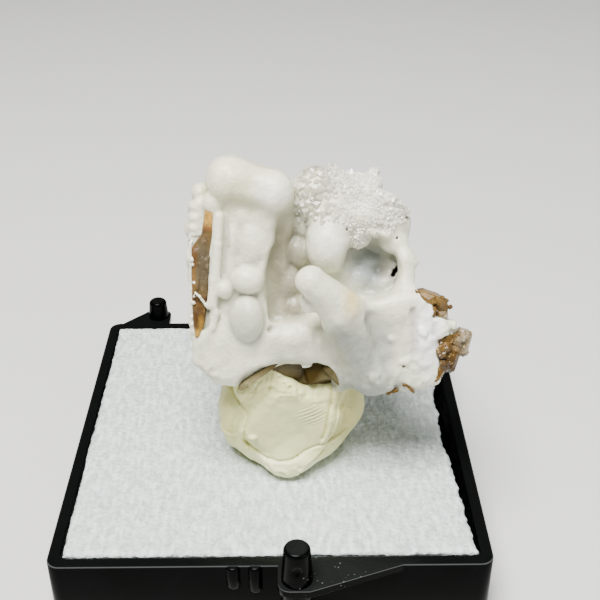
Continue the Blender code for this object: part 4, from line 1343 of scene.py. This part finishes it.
# Creases pressed into the putty, across and up the facet: path, width, depth, lip, lip width
CREASES = (
    (((-8.3, 5.8), (-7.1, 4.1), (-6.1, 2.7), (-5.2, 1.5), (-5.4, 0.1), (-5.7, -1.6), (-5.3, -3.1)),
     0.25, 0.3, 0.5, 0.7),
    (((-5.5, -2.8), (-4.4, -3.5), (-3.4, -4.1), (-1.6, -4.5), (0.2, -4.3), (1.1, -3.9)),
     0.16, 0.3, 0.25, 1.8),
    (((1.1, -3.9), (2.2, -3.2), (3.4, -2.7), (4.5, -2.6), (5.6, -2.3)), 0.16, 0.25, 0.2, 1.2),
    (((5.3, -2.6), (4.3, -3.9), (2.7, -4.9), (2.2, -5.5)), 0.18, 0.35, 0.2, 0.8),
    (((4.3, -1.7), (4.8, -0.3), (5.0, 1.4), (5.4, 2.8), (5.5, 4.0), (5.6, 5.1)), 0.2, 0.35, 0.3, 0.8),
    (((5.2, -1.4), (6.0, 0.6), (6.3, 2.6), (6.6, 4.4)), 0.16, 0.22, 0.12, 0.5),
    (((6.5, 0.2), (6.9, 1.8), (7.3, 3.6)), 0.16, 0.2, 0.12, 0.5),
    (((-6.8, 1.0), (-7.2, -0.6), (-6.8, -2.4)), 0.2, 0.15, 0.1, 0.6),
)
# The skirt below the facet flares out from this path
SKIRT_PATH = ((-6.4, -2.4), (-4.4, -3.5), (-3.4, -4.1), (-1.6, -4.5), (0.6, -4.2), (2.6, -3.4), (4.6, -2.8))
SKIRT_SLOPE = 0.5
SKIRT_REACH = 2.4
SKIRT_FADE = 0.8
# Wrinkles outside the facet: cell, share of the height, seed
WRINKLES = ((1.3, 1.0, 41), (0.6, 0.6, 42))
WRINKLE_HEIGHT = 0.2
# Short straight pleats, from place to place
PLEATS = (
    (-4.4, 5.2, -3.6, 6.8), (-3.5, 4.9, -2.7, 7.3), (-2.4, 4.8, -2.0, 7.6), (-1.4, 4.7, -1.3, 7.0),
    (-0.4, 4.6, -0.5, 6.2), (0.5, 4.5, 0.2, 5.9), (1.3, 4.5, 1.2, 5.9), (2.3, 4.5, 2.3, 5.8),
    (3.2, 4.3, 3.4, 5.7), (4.1, 4.1, 4.4, 5.4), (-6.2, 2.6, -5.0, 4.6), (-5.2, 3.4, -4.0, 5.2),
)
PLEAT_WIDTH = 0.16
PLEAT_DEPTH = 0.18
# Ridges of a fingertip's skin: centre, reach, pitch, angle, height; and a smear: centre, reach, height
SKIN_RIDGES = ((3.0, 1.8), (1.7, 1.3), 0.46, 24.0, 0.1)
SMEAR = ((-4.6, -1.15), (0.75, 0.38), 0.55)


def along_path(u, v, path):
    """Distance to a path on the facet, and the side on which each point lies."""
    best = np.full(len(u), 1e9)
    side = np.zeros(len(u))
    for (u0, v0), (u1, v1) in zip(path, path[1:]):
        du, dv = u1 - u0, v1 - v0
        share = unit(((u - u0) * du + (v - v0) * dv) / (du * du + dv * dv))
        away = np.hypot(u - u0 - share * du, v - v0 - share * dv)
        nearer = away < best
        best = np.where(nearer, away, best)
        side = np.where(nearer, np.sign(du * (v - v0) - dv * (u - u0)), side)
    return best, side


def press_putty(points):
    """Creases, pleats, skin ridges and a smear, pushed along the facet's normal."""
    tilt = math.radians(FACET_TILT)
    out = np.array((0.0, -math.cos(tilt), math.sin(tilt)))
    up = np.array((0.0, math.sin(tilt), math.cos(tilt)))
    local = points - np.array(FACET_CENTRE)
    u, v, depth = local[:, 0], local @ up, local @ out
    front = unit(1.0 + depth / FACET_REACH)
    push = np.zeros(len(points))
    for path, width, dip, lip, reach in CREASES:
        away, side = along_path(u, v, path)
        push -= dip * np.exp(-(away / width) ** 2)
        rise = unit((away - 0.3 * width) / (1.2 * width))
        push += lip * rise * np.exp(-(away / reach) ** 2) * (side < 0)
    away, side = along_path(u, v, SKIRT_PATH)
    fade = np.exp(-(np.maximum(away - SKIRT_REACH, 0.0) / SKIRT_FADE) ** 2)
    push += SKIRT_SLOPE * np.minimum(away, SKIRT_REACH) * (side < 0) * fade
    outside = np.clip((np.hypot(u / 5.2, (v + 0.2) / 4.4) - 0.85) / 0.3, 0.12, 1.0)
    for cell, height, seed in WRINKLES:
        ridged = 1.0 - 2.0 * np.abs(value_noise(*points.T, cell, seed))
        push += WRINKLE_HEIGHT * height * outside * ridged
    for u0, v0, u1, v1 in PLEATS:
        away, _ = along_path(u, v, ((u0, v0), (u1, v1)))
        push -= PLEAT_DEPTH * np.exp(-(away / PLEAT_WIDTH) ** 2)
    (cu, cv), (ru, rv), pitch, angle, height = SKIN_RIDGES
    mask = unit(1.4 - np.hypot((u - cu) / ru, (v - cv) / rv))
    across = -math.sin(math.radians(angle)) * u + math.cos(math.radians(angle)) * v
    push += height * mask * np.sin(across * math.tau / pitch)
    (cu, cv), (ru, rv), height = SMEAR
    push += height * unit(1.0 - np.hypot((u - cu) / ru, (v - cv) / rv) ** 2)
    return points + (push * front)[:, None] * out


PUTTY_BASE = rgb(224, 222, 160)
PUTTY_ZONES = (
    ((2.2, -10.6, 16.4), (4.2, 2.0, 4.0), rgb(198, 200, 152), 0.9),
    # The right side: a deeper yellow, darkened with painted shade on the side turned from the light
    ((9.4, -6, 16.0), (2.4, 4, 3.4), rgb(190, 178, 104), 0.9),
    ((-6.4, -6, 17.0), (1.4, 4, 4.0), rgb(206, 198, 124), 0.6),
    # Painted light on the lower lip, which faces up towards the light
    ((1.8, -10.5, 11.2), (4.0, 2.0, 1.6), rgb(255, 253, 214), 1.0),
)


def build_putty():
    field = Field(PUTTY_LOW, PUTTY_HIGH, PUTTY_STEP)
    for centre, half, rounding, turn, blend in PUTTY_SLABS:
        field.add(Slab(centre, half, rounding, turn), blend)
    change_balls(field.add, PUTTY_BALLS)
    for wave in PUTTY_WAVES:
        roughen(field, *wave)
    floor = PUTTY_BOTTOM - field.axes[2][None, None, :]
    field.value = np.maximum(field.value, floor)
    points, quads = largest_part(*surface_of(field))
    points = press_putty(points)
    piece = mesh_piece("putty_skin", points, quads.tolist(), putty_paint())
    tint_and_shade_points(piece, points, PUTTY_BASE, PUTTY_ZONES)
    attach(piece, "root")
    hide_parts("putty_lump")


# The foam

FOAM_GRID = 200
FOAM_HALF = BASE_WIDTH / 2 - BASE_WALL - GAP
FOAM_CELL = 0.75
FOAM_PIT = 0.16
FOAM_RAG = 0.07
FOAM_RAG_RIGHT = 0.168
FOAM_SIDE_ROWS = 24
FOAM_ROLL = 0.3
FOAM_ROLL_WIDTH = 0.25
# Depth, cell and seed of the top's slow swell and of the jagged sides
FOAM_SWELL = (0.05, 6.0, 81)
FOAM_JAG = (0.16, 0.7, 83)


def foam_pit(x, y):
    """Depth of the cut cells: round pits with thin walls between them."""
    distances, _ = noise.voronoi((x / FOAM_CELL, y / FOAM_CELL, 0.0))
    wall = min(1.0, (distances[1] - distances[0]) * 2.2)
    return FOAM_PIT * wall * (0.6 + 0.4 * noise.noise((x * 0.8, y * 0.8, 3.0)))


def foam_edge(side, along):
    """How far the cut edge stands in from the wall; side 0 is the right one, cut the worst."""
    def wander(cell, seed):
        return value_noise(along, along * 0, along * 0, cell, seed)
    inset = -0.1 + 0.1 * wander(5.0, 50 + side)
    rag = FOAM_RAG
    if side == 0:
        inset = inset + 0.25 + 1.3 * np.sin(np.pi * (along + FOAM_HALF) / (2 * FOAM_HALF)) ** 2
        inset = inset + 0.25 * wander(2.4, 60)
        rag = FOAM_RAG_RIGHT
    return inset + rag * wander(0.7, 70 + side)


def foam_top():
    """The pitted top: its points, and the grid of their numbers."""
    run = np.linspace(-1.0, 1.0, FOAM_GRID + 1)
    along = run * FOAM_HALF
    right, left = FOAM_HALF - foam_edge(0, along), -FOAM_HALF + foam_edge(2, along)
    front, back = -FOAM_HALF + foam_edge(3, along), FOAM_HALF - foam_edge(1, along)
    u, v = np.meshgrid(run, run, indexing="ij")
    x = (left[None, :] + (right - left)[None, :] * (u + 1) / 2).ravel()
    y = (front[:, None] + (back - front)[:, None] * (v + 1) / 2).ravel()
    pits = np.array([foam_pit(a, b) for a, b in zip(x, y)])
    rim = np.minimum.reduce([u + 1, 1 - u, v + 1, 1 - v]).ravel() * FOAM_HALF
    z = FOAM_TOP - pits - FOAM_ROLL * np.exp(-(rim / FOAM_ROLL_WIDTH) ** 2)
    depth, cell, seed = FOAM_SWELL
    z += depth * value_noise(x, y, x * 0, cell, seed)
    return np.column_stack([x, y, z]), np.arange(u.size).reshape(u.shape)


def build_foam():
    points, number = foam_top()
    quads = np.stack([number[:-1, :-1], number[1:, :-1], number[1:, 1:], number[:-1, 1:]], -1)
    layers, faces = [points], [quads.reshape(-1, 4)]
    ring = upper = rim_of(number.T)
    total = len(points)
    side_top = FOAM_TOP - FOAM_ROLL
    depth, cell, seed = FOAM_JAG
    for row in range(1, FOAM_SIDE_ROWS + 1):
        around = points[ring]
        around[:, 2] = side_top - (side_top - FOAM_BOTTOM) * row / FOAM_SIDE_ROWS
        jag = depth * value_noise(*around.T, cell, seed)
        around[:, :2] *= (1.0 - (0.1 + np.abs(jag)) / FOAM_HALF)[:, None]
        layers.append(around)
        lower = np.arange(total, total + len(ring))
        total += len(ring)
        faces.append(np.stack([np.roll(upper, -1), upper, lower, np.roll(lower, -1)], 1))
        upper = lower
    faces = np.concatenate(faces).tolist() + [upper[::-1].tolist()]
    piece = mesh_piece("foam_cut", np.concatenate(layers), faces, foam_paint())
    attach(piece, "root")
    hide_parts("foam_pad")


# The box base

# Each side of the base: its sign along y, its label and its post
SIDES = ((-1, "front", FRONT_POST), (1, "back", BACK_POST))
# Inset and height of the tray: up the outside, over the rim and down inside
TRAY_PROFILE = (
    (0.4, 0.0), (0.08, 0.1), (0.0, 0.4), (0.0, 8.82), (0.05, 8.93), (0.14, 9.0),
    (1.3, 9.0), (1.44, 8.95), (1.5, 8.8), (1.5, 1.5),
)
# The profile ring that carries the painted highlight along the tray's top outer edge
TRAY_HIGHLIGHT_RING = 4
CORNER_STEPS = 8
POST_STEPS = 48
POST_TAPER_STEPS = 14
POST_COLLAR = 0.2
POST_TIP_ROUND = 0.55
POST_DIMPLE = (0.55, 0.3)
POST_DIMPLE_RISE = 0.52
FLANGE_ROOT = 0.3
FLANGE_CORNER = 1.4
FLANGE_UNDER = BASE_HEIGHT - FLANGE_THICK
# Inset and height of the flange and of the tops of the ribs
FLANGE_PROFILE = (
    (0.06, FLANGE_UNDER), (0.0, FLANGE_UNDER + 0.1),
    (0.0, BASE_HEIGHT - 0.12), (0.03, BASE_HEIGHT - 0.06), (0.1, BASE_HEIGHT - 0.01),
)
# The profile ring that carries the painted highlight along the flange's top edge
FLANGE_HIGHLIGHT_RING = 3
RIB_TOP = ((0.0, 8.7), (0.1, 8.85), (0.3, 8.94))
RIB_STEPS = 24
RIB_STAGGER = 0.6


def circle(steps):
    return [step / steps * math.tau for step in range(steps)]


def quarter(steps):
    return [step / steps * math.pi / 2 for step in range(steps + 1)]


def rounded_square(half, radius):
    points = []
    for corner_number in range(4):
        corner = Vector((half - radius, half - radius))
        turn = Matrix.Rotation(corner_number * math.pi / 2, 2)
        for angle in quarter(CORNER_STEPS):
            points.append(turn @ (corner + Vector((math.cos(angle), math.sin(angle))) * radius))
    return points


def lofted(name, rings, material, smooth_angle=35.0, painted_highlight_ring=None):
    """A closed skin through rings of points, as many in each; one ring may carry a painted highlight."""
    points = [point for ring in rings for point in ring]
    size = len(rings[0])
    faces = []
    for a in range(0, len(points) - size, size):
        for step in range(size):
            after = (step + 1) % size
            faces.append((a + step, a + after, a + size + after, a + size + step))
    faces.append(tuple(range(size))[::-1])
    faces.append(tuple(range(len(points) - size, len(points))))
    piece = mesh_piece(name, points, faces, material)
    piece.data.set_sharp_from_angle(angle=math.radians(smooth_angle))
    note_points(piece, "painted_highlight_ring", [n // size == painted_highlight_ring for n in range(len(points))])
    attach(piece, "root")
    return piece


def build_tray(material):
    rings = []
    for inset, height in TRAY_PROFILE:
        radius = max(0.5, BASE_CORNER - inset * 0.6)
        rings.append([(x, y, height) for x, y in rounded_square(BASE_WIDTH / 2 - inset, radius)])
    tray = lofted("box_tray", rings, material, painted_highlight_ring=TRAY_HIGHLIGHT_RING)
    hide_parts("box_base")


def post_profile(post):
    """Radii and heights of a post, from its foot to the middle of its tip."""
    radius, upper = post["radius"], post["top_radius"]
    collar = BASE_HEIGHT + POST_COLLAR
    top = BASE_HEIGHT + post["rise"]
    profile = [(radius - 0.1, 0.0), (radius, 0.15), (radius, BASE_HEIGHT - POST_COLLAR)]
    profile += [(radius, BASE_HEIGHT), (radius - 0.03, collar)]
    for step in range(1, POST_TAPER_STEPS):
        share = step / POST_TAPER_STEPS
        profile.append((radius + (upper - radius) * share, collar + (post["rise"] - 0.8) * share))
    for angle in quarter(6):
        out, up = POST_TIP_ROUND * math.cos(angle), POST_TIP_ROUND * math.sin(angle)
        profile.append((upper - POST_TIP_ROUND + out, top - POST_TIP_ROUND + up))
    profile += [(upper - 0.8, top - 0.03), (upper - 1.1, top - 0.06)]
    return profile


def build_post(name, post, side, material):
    """A tapered post with a shallow dimple on its outer side."""
    x = -side * post["x"]
    y = side * (BASE_WIDTH / 2 + FLANGE_REACH - post["radius"] - 0.25)
    reach, depth = POST_DIMPLE
    dimple_height = BASE_HEIGHT + post["rise"] * POST_DIMPLE_RISE
    rings = []
    for radius, height in post_profile(post):
        ring = []
        for angle in circle(POST_STEPS):
            px, py = radius * math.cos(angle), radius * math.sin(angle)
            away = math.hypot(px, height - dimple_height) / reach
            pull = depth * math.exp(-away ** 4) if side * py > 0 else 0.0
            ring.append((x + px, y + py - side * pull, height))
        rings.append(ring)
    lofted(name, rings, material)


def build_flange(name, post, side, material):
    """The shelf at a post's foot: it has one round corner and tapers along the wall."""
    wall = BASE_WIDTH / 2 - FLANGE_ROOT
    reach = BASE_WIDTH / 2 + FLANGE_REACH
    left = post["x"] - post["radius"] - 0.35
    right = post["x"] + post["run"]
    outline = [(left, wall), (left, reach - FLANGE_CORNER)]
    for angle in quarter(6)[1:]:
        out, up = FLANGE_CORNER * math.cos(angle), FLANGE_CORNER * math.sin(angle)
        outline.append((left + FLANGE_CORNER - out, reach - FLANGE_CORNER + up))
    outline += [(post["x"] + 1.5, reach), (right, wall + FLANGE_ROOT)]
    rings = [[(-side * x, side * (y - inset), height) for x, y in outline]
             for inset, height in FLANGE_PROFILE]
    lofted(name, rings, material, 25.0, painted_highlight_ring=FLANGE_HIGHLIGHT_RING)


def build_ribs(label, side, material):
    """Upright half-round grip ribs on one side of the tray."""
    centre = BASE_WIDTH / 2 - RIB_RADIUS + RIB_PROUD
    for number, place in enumerate(RIB_PLACES, 1):
        low = RIB_LOW + RIB_STAGGER * (number - 1)
        rings = []
        for inset, height in ((0.6, low), (0.2, low + 0.25), (0.0, low + 0.7), *RIB_TOP):
            radius = RIB_RADIUS - inset
            around = [(radius * math.cos(angle), radius * math.sin(angle)) for angle in circle(RIB_STEPS)]
            rings.append([(-side * place + x, side * centre + y, height) for x, y in around])
        lofted("box_rib_%s_%d" % (label, number), rings, material)


def build_box():
    material = plastic_paint()
    build_tray(material)
    for side, label, post in SIDES:
        build_post("box_post_" + label, post, side, material)
    for side, label, post in SIDES:
        build_flange("box_flange_" + label, post, side, material)
    for side, label, _ in SIDES:
        build_ribs(label, side, material)


# Stage, light and camera


FLOOR_COLOUR = (0.62, 0.62, 0.61, 1.0)
WORLD_COLOUR = (0.9, 0.93, 0.97, 1.0)
WORLD_STRENGTH = 0.2
LAMP_TARGET = (0, 0, 0.03)
# Soft round lamps, in metres and watts: name, place, size, power, colour
LAMPS = (
    ("key", (-0.06, -0.10, 0.42), 0.26, 6.2, (1.0, 0.985, 0.955)),
    ("fill", (0.32, -0.22, 0.22), 0.3, 0.6, (0.93, 0.96, 1.0)),
)


def build_stage():
    paint = Paint("floor_pale")
    paint.set(Base_Color=FLOOR_COLOUR, Roughness=0.8)
    mesh = bpy.data.meshes.new("floor")
    mesh.from_pydata([(-2, -2, 0), (2, -2, 0), (2, 3, 0), (-2, 3, 0)], [], [(0, 1, 2, 3)])
    mesh.materials.append(paint.material)
    floor = new_object("floor", mesh)


def build_light():
    world = bpy.data.worlds.new("studio")
    bpy.context.scene.world = world
    world.use_nodes = True
    sky = world.node_tree.nodes["Background"].inputs
    sky["Color"].default_value = WORLD_COLOUR
    sky["Strength"].default_value = WORLD_STRENGTH
    for name, place, size, power, colour in LAMPS:
        light = bpy.data.lights.new(name, "AREA")
        light.shape = "DISK"
        light.size = size
        light.energy = power
        light.color = colour
        lamp = new_object(name, light)
        lamp.location = place
        lamp.rotation_euler = (Vector(LAMP_TARGET) - Vector(place)).to_track_quat("-Z", "Y").to_euler()


def build_camera():
    data = bpy.data.cameras.new("camera")
    data.lens = CAMERA_LENS
    data.sensor_width = CAMERA_SENSOR
    data.clip_start = 0.001
    camera = new_object("camera", data)
    camera.location = [value * MM for value in CAMERA_PLACE]
    camera.rotation_euler = (math.radians(90 - CAMERA_PITCH), 0, math.radians(-CAMERA_YAW))
    bpy.context.scene.camera = camera


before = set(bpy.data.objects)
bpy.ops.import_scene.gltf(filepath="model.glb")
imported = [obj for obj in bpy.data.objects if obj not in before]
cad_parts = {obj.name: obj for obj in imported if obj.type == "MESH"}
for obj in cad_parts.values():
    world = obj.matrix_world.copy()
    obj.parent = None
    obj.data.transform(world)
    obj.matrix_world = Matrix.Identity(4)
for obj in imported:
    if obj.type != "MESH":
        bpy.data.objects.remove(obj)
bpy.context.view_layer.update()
build_stage()
build_light()
build_camera()
build_druse(*build_crust())
build_barite()
build_putty()
build_foam()
build_box()
